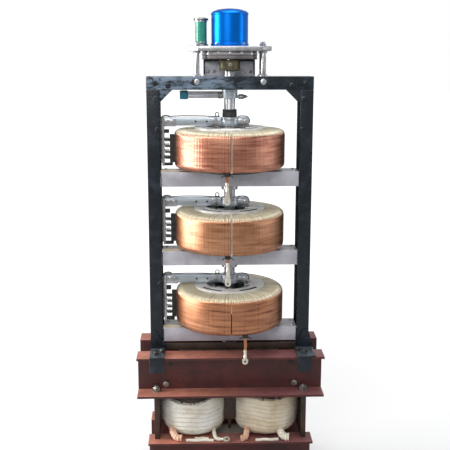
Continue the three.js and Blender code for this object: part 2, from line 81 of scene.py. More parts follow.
def noiseNode(nodes, links, scale, detail=4, rough=0.55, stretch=None, distortion=0.0):
    coords = nodes.new("ShaderNodeTexCoord")
    tex = nodes.new("ShaderNodeTexNoise")
    tex.inputs["Scale"].default_value = scale
    tex.inputs["Detail"].default_value = detail
    tex.inputs["Roughness"].default_value = rough
    tex.inputs["Distortion"].default_value = distortion
    source = coords.outputs["Object"]
    if stretch:
        mapping = nodes.new("ShaderNodeMapping")
        mapping.inputs["Scale"].default_value = stretch
        links.new(source, mapping.inputs["Vector"])
        source = mapping.outputs["Vector"]
    links.new(source, tex.inputs["Vector"])
    return tex.outputs["Fac"]


def rampNode(nodes, links, source, stops):
    ramp = nodes.new("ShaderNodeValToRGB")
    elements = ramp.color_ramp.elements
    while len(elements) < len(stops):
        elements.new(0.5)
    for element, (place, color) in zip(elements, stops):
        element.position = place
        element.color = (*color, 1) if not isinstance(color, (int, float)) else (color, color, color, 1)
    links.new(source, ramp.inputs["Fac"])
    return ramp.outputs["Color"]


def mixNode(nodes, links, factor, a, b, mode="MIX"):
    mix = nodes.new("ShaderNodeMix")
    mix.data_type = "RGBA"
    mix.blend_type = mode
    for socket, value in ((mix.inputs["Factor"], factor), (mix.inputs["A"], a), (mix.inputs["B"], b)):
        if hasattr(value, "node"):
            links.new(value, socket)
        elif isinstance(value, (int, float)):
            socket.default_value = value
        else:
            socket.default_value = (*value, 1)
    return mix.outputs["Result"]


def mathNode(nodes, links, operation, a, b=None, c=None):
    node = nodes.new("ShaderNodeMath")
    node.operation = operation
    for socket, value in zip(node.inputs, (a, b, c)):
        if value is None:
            continue
        if hasattr(value, "node"):
            links.new(value, socket)
        else:
            socket.default_value = value
    return node.outputs["Value"]


def bumpNode(nodes, links, bsdf, height, strength, distance):
    bump = nodes.new("ShaderNodeBump")
    bump.inputs["Strength"].default_value = strength
    bump.inputs["Distance"].default_value = distance
    links.new(height, bump.inputs["Height"])
    links.new(bump.outputs["Normal"], bsdf.inputs["Normal"])


def spanNode(nodes, links, source, start=0.0, end=1.0, low=0.0, high=1.0, smooth=False):
    # start to end becomes low to high, held at both ends
    span = nodes.new("ShaderNodeMapRange")
    if smooth:
        span.interpolation_type = "SMOOTHSTEP"
    for socket, value in (("From Min", start), ("From Max", end), ("To Min", low), ("To Max", high)):
        span.inputs[socket].default_value = value
    links.new(source, span.inputs["Value"])
    return span.outputs["Result"]


def facingUp(nodes, links, start, end):
    # 0 on walls, 1 on faces that look up, where dust lies
    geometry = nodes.new("ShaderNodeNewGeometry")
    split = nodes.new("ShaderNodeSeparateXYZ")
    links.new(geometry.outputs["Normal"], split.inputs["Vector"])
    return spanNode(nodes, links, split.outputs["Z"], start, end)


def alongX(nodes, links, start, end):
    # 0 to 1 between two places across the object
    coords = nodes.new("ShaderNodeTexCoord")
    split = nodes.new("ShaderNodeSeparateXYZ")
    links.new(coords.outputs["Object"], split.inputs["Vector"])
    return spanNode(nodes, links, split.outputs["X"], start, end, smooth=True)


def coatedFinish(name, color, worn, scale, rough, roughSpread, bump, dust=None, dustAmount=0.0, metallic=0.0,
                 coat=0.0, stretch=None, patch=(0.42, 0.62), dustInPaintedShade=None, scuffAndReflectionTone=None, grime=None):
    # paint, plating and plastic: two tones in patches, roughness and bump from noise, dust on top
    mat, nodes, links, bsdf = newFinish(name)
    broad = noiseNode(nodes, links, scale, 5, 0.6, stretch)
    patches = rampNode(nodes, links, broad, [(patch[0], 0.0), (patch[1], 1.0)])
    tone = mixNode(nodes, links, patches, color, worn)
    if scuffAndReflectionTone:  # painted reflection of the key light, partly scuffed paint: lighter patches that fade out to the right
        scuffAndReflectionMask = rampNode(nodes, links, noiseNode(nodes, links, 34, 6, 0.7, (0.5, 1, 1.4), 0.8),
                         [(0.44, 0.0), (0.56, 0.85)])
        fade = mathNode(nodes, links, "MULTIPLY", scuffAndReflectionMask, alongX(nodes, links, 0.09, -0.06))
        tone = mixNode(nodes, links, fade, tone, scuffAndReflectionTone)
    if grime:  # dark dirt in streaks and corners
        dirt = rampNode(nodes, links, noiseNode(nodes, links, scale * 1.7, 7, 0.68),
                        [(0.5, 0.0), (0.66, 0.8)])
        tone = mixNode(nodes, links, dirt, tone, grime)
    if dust:
        # the dust colour darkens towards the right: painted shade, on the side away from the key light
        if dustInPaintedShade:
            dust = mixNode(nodes, links, alongX(nodes, links, -0.12, 0.12), dust, dustInPaintedShade)
        lying = mathNode(nodes, links, "MULTIPLY", facingUp(nodes, links, 0.4, 0.95), dustAmount)
        spotted = mathNode(nodes, links, "MULTIPLY", lying, noiseNode(nodes, links, scale * 2.5, 6, 0.7))
        spotted = mathNode(nodes, links, "MULTIPLY", spotted, 1.8)
        tone = mixNode(nodes, links, spotted, tone, dust)
    links.new(tone, bsdf.inputs["Base Color"])
    fine = noiseNode(nodes, links, scale * 9, 3, 0.5, stretch)
    gloss = spanNode(nodes, links, broad, low=max(rough - roughSpread, 0.02), high=rough + roughSpread)
    links.new(gloss, bsdf.inputs["Roughness"])
    bumpNode(nodes, links, bsdf, fine, bump, 0.001)
    bsdf.inputs["Metallic"].default_value = metallic
    bsdf.inputs["Coat Weight"].default_value = coat
    bsdf.inputs["Coat Roughness"].default_value = 0.08
    return mat


# the red oxide's dust is lighter at the left and darker at the right, as painted shade
redOxide = coatedFinish("redOxide", (0.105, 0.02, 0.017), (0.06, 0.015, 0.014), 8, 0.42, 0.16, 0.4,
                        dust=(0.56, 0.22, 0.15), dustAmount=0.85, dustInPaintedShade=(0.28, 0.11, 0.11),
                        grime=(0.03, 0.012, 0.01))
postPaint = coatedFinish("postPaint", (0.06, 0.03, 0.018), (0.02, 0.014, 0.009), 18, 0.5, 0.14, 0.5,
                         dust=(0.3, 0.2, 0.14), dustAmount=0.4)
blackPaint = coatedFinish("blackPaint", (0.006, 0.01, 0.016), (0.022, 0.03, 0.042), 26, 0.27, 0.14, 0.35,
                          dust=(0.2, 0.23, 0.27), dustAmount=0.3, patch=(0.5, 0.72))
# the beam's bluish patches at the left are painted reflection, partly scuffed paint
beamPaint = coatedFinish("beamPaint", (0.007, 0.012, 0.018), (0.03, 0.042, 0.056), 26, 0.2, 0.14, 0.4,
                         dust=(0.2, 0.23, 0.27), dustAmount=0.3, patch=(0.46, 0.66),
                         scuffAndReflectionTone=(0.22, 0.29, 0.38))
gearGrey = coatedFinish("gearGrey", (0.27, 0.25, 0.245), (0.15, 0.14, 0.135), 22, 0.4, 0.12, 0.3,
                        metallic=0.4)
shelfZinc = coatedFinish("shelfZinc", (0.58, 0.575, 0.63), (0.42, 0.41, 0.46), 14, 0.34, 0.14, 0.3,
                         dust=(0.56, 0.55, 0.5), dustAmount=0.4, metallic=0.3)
steelCore = coatedFinish("steelCore", (0.2, 0.175, 0.15), (0.09, 0.08, 0.07), 30, 0.6, 0.15, 0.4,
                         dust=(0.42, 0.37, 0.3), dustAmount=0.8, metallic=0.15, stretch=(0.2, 12, 1))
zincSteel = coatedFinish("zincSteel", (0.62, 0.63, 0.65), (0.42, 0.42, 0.43), 40, 0.3, 0.12, 0.12,
                         metallic=0.9)
boltSteel = coatedFinish("boltSteel", (0.42, 0.42, 0.4), (0.16, 0.15, 0.13), 90, 0.36, 0.14, 0.2,
                         metallic=0.9)
darkSteel = coatedFinish("darkSteel", (0.13, 0.14, 0.14), (0.05, 0.05, 0.05), 90, 0.32, 0.12, 0.2,
                         metallic=0.85)
clampGrey = coatedFinish("clampGrey", (0.8, 0.79, 0.76), (0.6, 0.59, 0.58), 30, 0.4, 0.12, 0.2, metallic=0.25)
hubGreen = coatedFinish("hubGreen", (0.012, 0.04, 0.032), (0.006, 0.018, 0.016), 40, 0.5, 0.15, 0.25,
                        dust=(0.08, 0.1, 0.09), dustAmount=0.4)
armAluminium = coatedFinish("armAluminium", (0.6, 0.67, 0.73), (0.4, 0.45, 0.5), 26, 0.34, 0.12, 0.2,
                            metallic=0.55, stretch=(0.25, 3, 3))
carbonBlack = coatedFinish("carbonBlack", (0.018, 0.017, 0.017), (0.04, 0.038, 0.036), 120, 0.6, 0.1, 0.3)
tinnedCopper = coatedFinish("tinnedCopper", (0.86, 0.82, 0.72), (0.66, 0.6, 0.48), 60, 0.36, 0.1, 0.2,
                            metallic=0.45)
bareCopper = coatedFinish("bareCopper", (0.62, 0.27, 0.14), (0.38, 0.15, 0.08), 60, 0.34, 0.1, 0.25,
                          metallic=0.85)
oldBrass = coatedFinish("oldBrass", (0.17, 0.15, 0.085), (0.07, 0.062, 0.04), 60, 0.46, 0.15, 0.4,
                        metallic=0.55)
blueEnamel = coatedFinish("blueEnamel", (0.0, 0.2, 0.8), (0.0, 0.17, 0.72), 12, 0.31, 0.05, 0.06,
                          metallic=0.9)
greenEnamel = coatedFinish("greenEnamel", (0.04, 0.36, 0.24), (0.03, 0.27, 0.18), 30, 0.3, 0.06, 0.1,
                           coat=1.0)
tealPlastic = coatedFinish("tealPlastic", (0.02, 0.2, 0.29), (0.015, 0.13, 0.2), 50, 0.35, 0.08, 0.12)
blackRubber = coatedFinish("blackRubber", (0.014, 0.014, 0.014), (0.03, 0.03, 0.03), 80, 0.55, 0.12, 0.3)
whiteSleeve = coatedFinish("whiteSleeve", (0.8, 0.77, 0.66), (0.66, 0.6, 0.46), 60, 0.5, 0.1, 0.3)
creamBoard = coatedFinish("creamBoard", (0.62, 0.56, 0.42), (0.5, 0.43, 0.3), 40, 0.5, 0.1, 0.25)
peachWrap = coatedFinish("peachWrap", (0.78, 0.5, 0.36), (0.6, 0.34, 0.22), 70, 0.55, 0.1, 0.4)
braidGrey = coatedFinish("braidGrey", (0.5, 0.48, 0.45), (0.3, 0.28, 0.26), 300, 0.45, 0.1, 0.5, metallic=0.7)


# dark, middle and bright copper of each gang; the middle one is the most golden
copperTones = {"upper": ((0.17, 0.045, 0.026), (0.48, 0.17, 0.1), (0.74, 0.34, 0.21)),
               "middle": ((0.18, 0.065, 0.03), (0.47, 0.19, 0.085), (0.7, 0.35, 0.18)),
               "lower": ((0.17, 0.05, 0.022), (0.46, 0.17, 0.075), (0.7, 0.32, 0.15))}


def copperFinish(gang, highZ):
    # polished brush track on the outer wall, amber varnish on the rest, tones that change from turn to turn
    mat, nodes, links, bsdf = newFinish("copperTurns_" + gang)
    coords = nodes.new("ShaderNodeTexCoord")
    split = nodes.new("ShaderNodeSeparateXYZ")
    links.new(coords.outputs["Object"], split.inputs["Vector"])
    x, y, z = split.outputs["X"], split.outputs["Y"], split.outputs["Z"]
    track = spanNode(nodes, links, z, highZ - 0.005, highZ - 0.012, smooth=True)
    angle = mathNode(nodes, links, "ARCTAN2", y, x)
    turnTone = nodes.new("ShaderNodeTexNoise")
    turnTone.noise_dimensions = "1D"
    turnTone.inputs["Scale"].default_value = 34
    turnTone.inputs["Detail"].default_value = 3
    turnTone.inputs["Roughness"].default_value = 0.75
    links.new(angle, turnTone.inputs["W"])
    wrap = nodes.new("ShaderNodeCombineXYZ")
    links.new(mathNode(nodes, links, "MULTIPLY", angle, 1.5), wrap.inputs["X"])
    links.new(mathNode(nodes, links, "MULTIPLY", z, 150), wrap.inputs["Y"])
    bandTone = nodes.new("ShaderNodeTexNoise")
    bandTone.inputs["Scale"].default_value = 1.0
    bandTone.inputs["Detail"].default_value = 5
    bandTone.inputs["Roughness"].default_value = 0.6
    links.new(wrap.outputs["Vector"], bandTone.inputs["Vector"])
    blotch = noiseNode(nodes, links, 16, 4, 0.6)
    wear = mathNode(nodes, links, "MULTIPLY_ADD", bandTone.outputs["Fac"], 0.62,
                    mathNode(nodes, links, "MULTIPLY", turnTone.outputs["Fac"], 0.16))
    wear = mathNode(nodes, links, "MULTIPLY_ADD", blotch, 0.22, wear)
    copper = rampNode(nodes, links, wear, list(zip((0.36, 0.46, 0.6), copperTones[gang])))
    varnish = rampNode(nodes, links, turnTone.outputs["Fac"],
                       [(0.3, (0.4, 0.31, 0.17)), (0.5, (0.78, 0.7, 0.49)), (0.7, (0.9, 0.85, 0.68))])
    links.new(mixNode(nodes, links, track, varnish, copper), bsdf.inputs["Base Color"])
    links.new(spanNode(nodes, links, track, low=0.25, high=0.9), bsdf.inputs["Metallic"])
    links.new(spanNode(nodes, links, bandTone.outputs["Fac"], low=0.24, high=0.42), bsdf.inputs["Roughness"])
    grain = mathNode(nodes, links, "ADD", turnTone.outputs["Fac"], bandTone.outputs["Fac"])
    bumpNode(nodes, links, bsdf, grain, 0.25, 0.0006)
    bsdf.inputs["Coat Weight"].default_value = 0.9
    bsdf.inputs["Coat Roughness"].default_value = 0.14
    return mat


def tapeFinish():
    mat, nodes, links, bsdf = newFinish("cottonTape")
    stain = noiseNode(nodes, links, 11, 5, 0.65)
    tone = rampNode(nodes, links, stain, [(0.34, (0.62, 0.53, 0.38)), (0.48, (0.84, 0.79, 0.68)),
                                          (0.62, (0.92, 0.9, 0.84))])
    # painted shade: the tape turns darker and warmer towards the right
    tone = mixNode(nodes, links, alongX(nodes, links, -0.04, 0.08), tone, (0.9, 0.82, 0.7), "MULTIPLY")
    dirt = noiseNode(nodes, links, 40, 5, 0.7, (0.6, 0.6, 5))
    tone = mixNode(nodes, links, rampNode(nodes, links, dirt, [(0.6, 0.0), (0.74, 0.7)]), tone,
                   (0.3, 0.22, 0.13))
    # darker brown in the hollows between the layers: painted shade, partly dirt
    geometry = nodes.new("ShaderNodeNewGeometry")
    grooveShadeAndDirt = rampNode(nodes, links, geometry.outputs["Pointiness"], [(0.42, 0.9), (0.485, 0.0)])
    tone = mixNode(nodes, links, grooveShadeAndDirt, tone, (0.26, 0.18, 0.11))
    links.new(tone, bsdf.inputs["Base Color"])
    bsdf.inputs["Roughness"].default_value = 0.9
    bsdf.inputs["Sheen Weight"].default_value = 0.2
    weave = nodes.new("ShaderNodeTexWave")
    weave.bands_direction = "Z"
    weave.inputs["Scale"].default_value = 420
    weave.inputs["Distortion"].default_value = 3
    coords = nodes.new("ShaderNodeTexCoord")
    links.new(coords.outputs["Object"], weave.inputs["Vector"])
    thread = noiseNode(nodes, links, 420, 2, 0.5, (1, 1, 0.4))
    both = mathNode(nodes, links, "ADD", weave.outputs["Fac"], thread)
    bumpNode(nodes, links, bsdf, both, 0.5, 0.0008)
    return mat


cottonTape = tapeFinish()
print("finishes made")


# mesh helpers

def addLathe(bm, profile, steps, place=(0, 0, 0), axis=(0, 0, 1), spin=0.0):
    # turns a (radius, height) outline about an axis; ends on the axis are closed with fans
    turn = Vector(axis).to_track_quat("Z", "Y").to_matrix().to_4x4()
    move = Matrix.Translation(place) @ turn
    rings = []
    for radius, height in profile:
        if radius < 1e-7:
            rings.append([bm.verts.new(move @ Vector((0, 0, height)))])
            continue
        ring = []
        for k in range(steps):
            a = spin + 2 * math.pi * k / steps
            ring.append(bm.verts.new(move @ Vector((radius * math.cos(a), radius * math.sin(a), height))))
        rings.append(ring)
    closed = profile[0] == profile[-1] and profile[0][0] > 1e-7
    if closed:
        for vert in rings.pop():
            bm.verts.remove(vert)
        rings.append(rings[0])
    for low, high in zip(rings, rings[1:]):
        for k in range(steps):
            n = (k + 1) % steps
            if len(low) == 1 and len(high) > 1:
                bm.faces.new((low[0], high[n], high[k]))
            elif len(high) == 1 and len(low) > 1:
                bm.faces.new((low[k], low[n], high[0]))
            elif len(low) > 1:
                bm.faces.new((low[k], low[n], high[n], high[k]))


def addBlock(bm, low, high, edge=0.0, segments=2, turn=None):
    # a block between two corners with rounded edges
    made = bmesh.ops.create_cube(bm, size=1)["verts"]
    size = [high[i] - low[i] for i in range(3)]
    middle = Vector([(high[i] + low[i]) / 2 for i in range(3)])
    bmesh.ops.scale(bm, vec=size, verts=made)
    bmesh.ops.translate(bm, vec=middle, verts=made)
    if edge:
        edges = list({e for v in made for e in v.link_edges})
        done = bmesh.ops.bevel(bm, geom=edges, offset=edge, segments=segments, affect="EDGES", profile=0.5)
        made = list({v for f in done["faces"] for v in f.verts} | {v for v in made if v.is_valid})
    if turn:
        bmesh.ops.transform(bm, matrix=turn, verts=made)
    return made


def addTube(bm, points, radius, sides=10, closed=False):
    # a round tube along points, carried round the bends without twist, with flat caps
    spots = [Vector(p) for p in points]
    count = len(spots)
    normal = None
    rings = []
    for i, spot in enumerate(spots):
        if closed:
            ahead = spots[(i + 1) % count] - spots[i - 1]
        else:
            ahead = spots[min(i + 1, count - 1)] - spots[max(i - 1, 0)]
        ahead.normalize()
        if normal is None:
            normal = ahead.orthogonal().normalized()
        normal = (normal - ahead * normal.dot(ahead)).normalized()
        side = ahead.cross(normal)
        size = radius[i] if isinstance(radius, (list, tuple)) else radius
        rings.append([
            bm.verts.new(spot + size * (normal * math.cos(2 * math.pi * k / sides)
                                        + side * math.sin(2 * math.pi * k / sides)))
            for k in range(sides)
        ])
    pairs = list(zip(rings, rings[1:])) + ([(rings[-1], rings[0])] if closed else [])
    for low, high in pairs:
        for k in range(sides):
            n = (k + 1) % sides
            bm.faces.new((low[k], low[n], high[n], high[k]))
    if not closed:
        bm.faces.new(rings[0][::-1])
        bm.faces.new(rings[-1])


def smoothPath(points, steps=6):
    # a smooth curve through given points
    spots = [Vector(p) for p in points]
    spots = [2 * spots[0] - spots[1]] + spots + [2 * spots[-1] - spots[-2]]
    path = []
    for a, b, c, d in zip(spots, spots[1:], spots[2:], spots[3:]):
        for i in range(steps):
            t = i / steps
            path.append(0.5 * (2 * b + (c - a) * t + (2 * a - 5 * b + 4 * c - d) * t ** 2
                               + (3 * b - a - 3 * c + d) * t ** 3))
    path.append(spots[-2])
    return path


def addBolt(bm, place, axis, across, height, washer=1.35, stub=0.0):
    # a hexagon head or nut on a washer, with a stub of thread if asked
    r = across / math.sqrt(3)
    w = across / 2 * washer
    thick = height * 0.22
    addLathe(bm, [(0, 0), (w, 0), (w, thick * 0.8), (w - thick * 0.3, thick), (0, thick)], 24, place, axis)
    addLathe(bm, [(0, thick), (r, thick), (r, height - across * 0.07), (r * 0.88, height), (0, height)], 6,
             place, axis, spin=0.4)
    if stub:
        addLathe(bm, [(0, height), (r * 0.55, height), (r * 0.55, height + stub * 0.85),
                      (r * 0.42, height + stub), (0, height + stub)], 16, place, axis)


def finishPiece(name, bm, body, material, angle=35):
    bmesh.ops.recalc_face_normals(bm, faces=bm.faces)
    mesh = bpy.data.meshes.new(name)
    bm.to_mesh(mesh)
    bm.free()
    mesh.polygons.foreach_set("use_smooth", [True] * len(mesh.polygons))
    mesh.set_sharp_from_angle(angle=math.radians(angle))
    mesh.materials.append(material)
    piece = bpy.data.objects.new(name, mesh)
    scene.collection.objects.link(piece)
    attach(piece, body)
    return piece


def softened(node, body, material, edge=0.0014, segments=2):
    # a CAD piece with its edges rounded over, as rolled and sawn steel has them
    bm = bmesh.new()
    bm.from_mesh(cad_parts[node].data)
    bmesh.ops.remove_doubles(bm, verts=bm.verts, dist=1e-5)
    bmesh.ops.dissolve_limit(bm, angle_limit=math.radians(1), verts=bm.verts, edges=bm.edges)
    sharp = [e for e in bm.edges if len(e.link_faces) == 2 and e.calc_face_angle() > math.radians(30)]
    bmesh.ops.bevel(bm, geom=sharp, offset=edge, segments=segments, affect="EDGES", profile=0.6,
                    clamp_overlap=True)
    piece = finishPiece(node + "_skin", bm, body, material)
    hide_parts(node)
    return piece


# buck-boost transformer

for place in ("base", "yoke"):
    for face in faceSigns:
        softened(f"{place}_channel_{face}", "root", redOxide, 0.0022, 3)
for side in sideSigns:
    softened(f"side_post_{side}", "root", postPaint)
softened("transformer_core", "root", steelCore, 0.0008, 1)

coilLook = {"steps": 160, "layers": 10, "layerDepth": 0.0032, "lump": 0.0022, "footRound": 0.036,
            "headRound": 0.012,
            "rows": 110, "tear": {"left": (-152, -52, 0.022),
                                  "right": (-118, -48, 0.012)}, "tearDepth": 0.013, "proud": 0.003}


def coilPiece(side):
    # tape wound over a round coil: overlapping layers that shade one another, lumps, a foot that rounds in,
    # and a place near the top where the outer layers have slipped, its faces painted dark as shade under the
    # yoke
    low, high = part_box("coil_" + side)
    middle = (low + high) / 2
    radius = (high.x - low.x) / 2 + coilLook["proud"]
    bore, height = 0.0625, high.z - low.z
    foot, head = coilLook["footRound"], coilLook["headRound"]
    steps = coilLook["steps"]
    shift = Vector((3.1 if side == "left" else 9.7, 4.0, 0))
    tearStart, tearEnd, tearDrop = coilLook["tear"][side]
    bm = bmesh.new()
    rings = []
    sunkShadedFaces = set()
    for i in range(coilLook["rows"] + 1):
        z = height * i / coilLook["rows"]
        inset = 0.0
        if z < foot:
            inset = (foot - math.sqrt(max(foot ** 2 - (foot - z) ** 2, 0))) * 0.9
        if height - z < head:
            inset = head - math.sqrt(max(head ** 2 - (head - height + z) ** 2, 0))
        inset += 0.006 * (1 - z / height) ** 1.5
        ring = []
        for k in range(steps):
            a = 2 * math.pi * k / steps
            c, s = math.cos(a), math.sin(a)
            wander = noise.noise(Vector((c * 1.6, s * 1.6, z * 9)) + shift) * 0.55
            layer = (z / height * coilLook["layers"] + wander) % 1.0
            step = coilLook["layerDepth"] * (layer if layer < 0.86 else (1 - layer) / 0.14 * 0.86)
            lump = (noise.noise(Vector((c * 2.6, s * 2.6, z * 34)) + shift) + 0.35) * coilLook["lump"]
            degree = math.degrees(a) - 360 * (a > math.pi)
            aside = (degree - (tearStart + tearEnd) / 2) / ((tearEnd - tearStart) / 2)
            edge = height - tearDrop * max(0.0, 1 - abs(aside) ** 3)
            edge += 0.0035 * noise.noise(Vector((a * 9, 2.0, 1.0)) + shift)
            sunk = coilLook["tearDepth"] if z > edge and tearStart < degree < tearEnd else 0.0
            if sunk:
                sunkShadedFaces.add((i, k))
            size = radius - inset - step - max(lump, 0) - sunk
            ring.append(bm.verts.new((middle.x + size * c, middle.y + size * s, low.z + z)))
        rings.append(ring)
    for z in (height, 0):
        spots = [2 * math.pi * k / steps for k in range(steps)]
        rings.append([bm.verts.new((middle.x + bore * math.cos(a), middle.y + bore * math.sin(a), low.z + z))
                      for a in spots])
    rings.append(rings[0])
    for i, (a, b) in enumerate(zip(rings, rings[1:])):
        for k in range(steps):
            n = (k + 1) % steps
            face = bm.faces.new((a[k], a[n], b[n], b[k]))
            face.material_index = 1 if (i, k) in sunkShadedFaces and i < coilLook["rows"] else 0
    piece = finishPiece("taped_coil_" + side, bm, "root", cottonTape, 60)
    # the second finish, dark post paint on the sunk faces, is painted shade
    piece.data.materials.append(postPaint)
    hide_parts("coil_" + side)


for side in sideSigns:
    coilPiece(side)
print("transformer made")


# frame

for side in sideSigns:
    softened("leg_" + side, "root", blackPaint, 0.0024, 3)
    softened("foot_" + side, "root", blackPaint, 0.0018)
softened("top_beam", "root", beamPaint, 0.0022, 3)
for gang in gangs:
    softened("shelf_" + gang, "root", shelfZinc, 0.001)

# windings

windingLook = {"turns": 190, "samples": 5, "trackRidge": 0.0002, "topRidge": 0.001, "shoulder": 0.016,
               "inner": 0.009, "gapHalf": {"lower": 0.0012, "middle": 0.0026, "upper": 0.0026}}


def windingOutline(inner, outer, height):
    # (radius, height, outward normal, ridge) round the section, anticlockwise from the foot of the wall
    shoulder, small = windingLook["shoulder"], windingLook["inner"]
    corners = [(outer - shoulder, shoulder, shoulder, -90),
               (outer - shoulder, height - shoulder, shoulder, 0),
               (inner + small, height - small, small, 90), (inner + small, small, small, 180)]
    points = []
    for r, z, size, start in corners:
        for i in range(7):
            a = math.radians(start + 15 * i)
            normal = (math.cos(a), math.sin(a))
            ridge = windingLook["trackRidge"] if normal[0] > 0.9 else windingLook["topRidge"]
            points.append((r + size * normal[0], z + size * normal[1], normal, ridge))
    return points


def windingPiece(gang):
    low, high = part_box("winding_" + gang)
    outer = (high.x - low.x) / 2
    outline = windingOutline(0.064, outer - windingLook["trackRidge"], high.z - low.z)
    gap = windingLook["gapHalf"][gang] / outer
    count = windingLook["turns"] * windingLook["samples"]
    random.seed(gangs.index(gang) + 3)
    wander = [random.uniform(-0.25, 0.25) for _ in range(windingLook["turns"] + 1)]
    bm = bmesh.new()
    rings = []
    for k in range(count + 1):
        turnNumber = k // windingLook["samples"]
        phase = (k % windingLook["samples"]) / windingLook["samples"]
        a = -math.pi / 2 + gap + (2 * math.pi - 2 * gap) * k / count
        lift = abs(math.sin(math.pi * phase)) ** 0.7 * 2 - 1
        ring = []
        for r, z, normal, ridge in outline:
            off = ridge * (lift + wander[turnNumber] * (ridge > windingLook["trackRidge"]))
            off = min(off, ridge)
            rr = r + off * normal[0]
            zz = min(max(z + (off - ridge) * normal[1], 0), high.z - low.z)
            ring.append(bm.verts.new((rr * math.cos(a), rr * math.sin(a), low.z + zz)))
        rings.append(ring)
    size = len(outline)
    for a, b in zip(rings, rings[1:]):
        for i in range(size):
            n = (i + 1) % size
            bm.faces.new((a[i], a[n], b[n], b[i]))
    bm.faces.new(rings[0])
    bm.faces.new(rings[-1][::-1])
    piece = finishPiece("turns_" + gang, bm, "root", copperFinish(gang, high.z), 55)
    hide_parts("winding_" + gang, "winding_core_" + gang)


for gang in gangs:
    windingPiece(gang)
print("windings made")

# hubs, clamp rings and front gaps

clampLook = {"bore": 0.064, "outer": 0.098, "slotIn": 0.078, "slotOut": 0.0905, "depth": 0.004,
             "edge": 0.0006,
             "slots": [(212, 253), (287, 328), (60, 84),
                       (96, 120)], "steps": 180, "lugs": 3, "lugWidth": 0.024}


def clampPiece(gang):
    # a pressed ring with a rounded lip and adjusting slots, on three lugs that reach in over the hub;
    # the slots are painted dark as shade
    low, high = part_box("clamp_ring_" + gang)
    thick = high.z - low.z
    edge = clampLook["edge"]
    radii = [clampLook["bore"], clampLook["bore"] + edge, clampLook["slotIn"] - edge, clampLook["slotIn"],
             clampLook["slotOut"], clampLook["slotOut"] + edge, clampLook["outer"] - 0.002,
             clampLook["outer"]]
    drops = [edge, 0, 0, None, None, 0, 0, 0.002]
    bm = bmesh.new()
    rings = []
    for k in range(clampLook["steps"]):
        degree = 360 * k / clampLook["steps"]
        cutHere = any(a <= degree <= b for a, b in clampLook["slots"])
        a = math.radians(degree)
        ring = []
        for r, drop in zip(radii, drops):
            drop = (clampLook["depth"] if cutHere else 0) if drop is None else drop
            ring.append(bm.verts.new((r * math.cos(a), r * math.sin(a), high.z - drop)))
        for r in (clampLook["outer"], clampLook["bore"]):
            ring.append(bm.verts.new((r * math.cos(a), r * math.sin(a), low.z)))
        rings.append(ring)
    size = len(radii) + 2
    for k, ring in enumerate(rings):
        after = rings[(k + 1) % len(rings)]
        for i in range(size):
            n = (i + 1) % size
            bm.faces.new((ring[i], ring[n], after[n], after[i]))
    for k in range(clampLook["lugs"]):
        half = clampLook["lugWidth"] / 2
        turn = Matrix.Rotation(2 * math.pi * k / clampLook["lugs"], 4, "Z")
        addBlock(bm, (0.0425, -half, low.z + 0.0004), (0.072, half, low.z + thick - 0.0012), 0.001, 2, turn)
    piece = finishPiece("clamp_skin_" + gang, bm, "root", clampGrey, 30)
    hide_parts("clamp_ring_" + gang)
    # black tubes lying in the slots: painted shade
    bm = bmesh.new()
    for start, end in clampLook["slots"]:
        spots = [math.radians(start + (end - start) * t / 12) for t in range(13)]
        r = (clampLook["slotIn"] + clampLook["slotOut"]) / 2
        path = [(r * math.cos(a), r * math.sin(a), high.z - clampLook["depth"] + 0.0005) for a in spots]
        addTube(bm, path, 0.0042, 8)
    finishPiece("clamp_slot_shade_" + gang, bm, "root", blackRubber)
    bm = bmesh.new()
    for k in range(clampLook["lugs"]):
        for spread in (-8, 8):
            a = 2 * math.pi * k / clampLook["lugs"] + math.radians(spread)
            addLathe(bm, [(0, 0), (0.0055, 0), (0.0055, 0.0008), (0.004, 0.0019), (0, 0.0022)], 20,
                     (0.05 * math.cos(a), 0.05 * math.sin(a), high.z - 0.0014))
    finishPiece("clamp_screws_" + gang, bm, "root", boltSteel)


hubLook = {"lip": 0.0015, "studs": 6, "studRadius": 0.05}


def hubPiece(gang):
    # moulded hub: softened rims, studs standing in the tube wall
    softened("hub_" + gang, "root", hubGreen, hubLook["lip"])
    low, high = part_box("hub_" + gang)
    bm = bmesh.new()
    for k in range(hubLook["studs"]):
        a = 2 * math.pi * (k + 0.5) / hubLook["studs"]
        spot = (hubLook["studRadius"] * math.cos(a), hubLook["studRadius"] * math.sin(a), high.z - 0.002)
        addLathe(bm, [(0, 0), (0.0035, 0), (0.0035, 0.0055), (0.0028, 0.0065), (0, 0.0065)], 14, spot)
        addBolt(bm, spot, (0, 0, 1), 0.009, 0.0045)
    finishPiece("hub_studs_" + gang, bm, "root", boltSteel)


stripLook = {"upper": (0.0, 1.0), "middle": (0.0, 1.0), "lower": (0.62, 1.0)}


def gapStrip(gang):
    # white insulation standing in the gap between the first turn and the last
    low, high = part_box("winding_" + gang)
    start, end = stripLook[gang]
    half = windingLook["gapHalf"][gang] - 0.0002
    deep = (high.x - low.x) / 2 - 0.0004
    bm = bmesh.new()
    height = high.z - low.z
    z0 = low.z + 0.0006 + height * start
    made = addBlock(bm, (-half, -deep, z0), (half, -0.068, high.z - 0.0004), 0.0006, 1)
    for vert in made:
        # follows the winding's shoulders
        for corner in (high.z, low.z):
            over = 0.016 - abs(corner - vert.co.z)
            if over > 0 and vert.co.y < -0.12:
                vert.co.y = -(deep - (0.016 - math.sqrt(max(0.016 ** 2 - over ** 2, 0))))
    finishPiece("gap_strip_" + gang, bm, "root", whiteSleeve)


for gang in gangs:
    clampPiece(gang)
    hubPiece(gang)
    gapStrip(gang)
print("hubs and clamps made")

# winding taps

tapLook = {"length": {"lower": 0.042, "middle": 0.018, "upper": 0.024}, "strap": 0.004, "strapThick": 0.0009,
           "barrel": 0.0048, "palm": 0.008, "palmThick": 0.0011, "hole": 0.003}


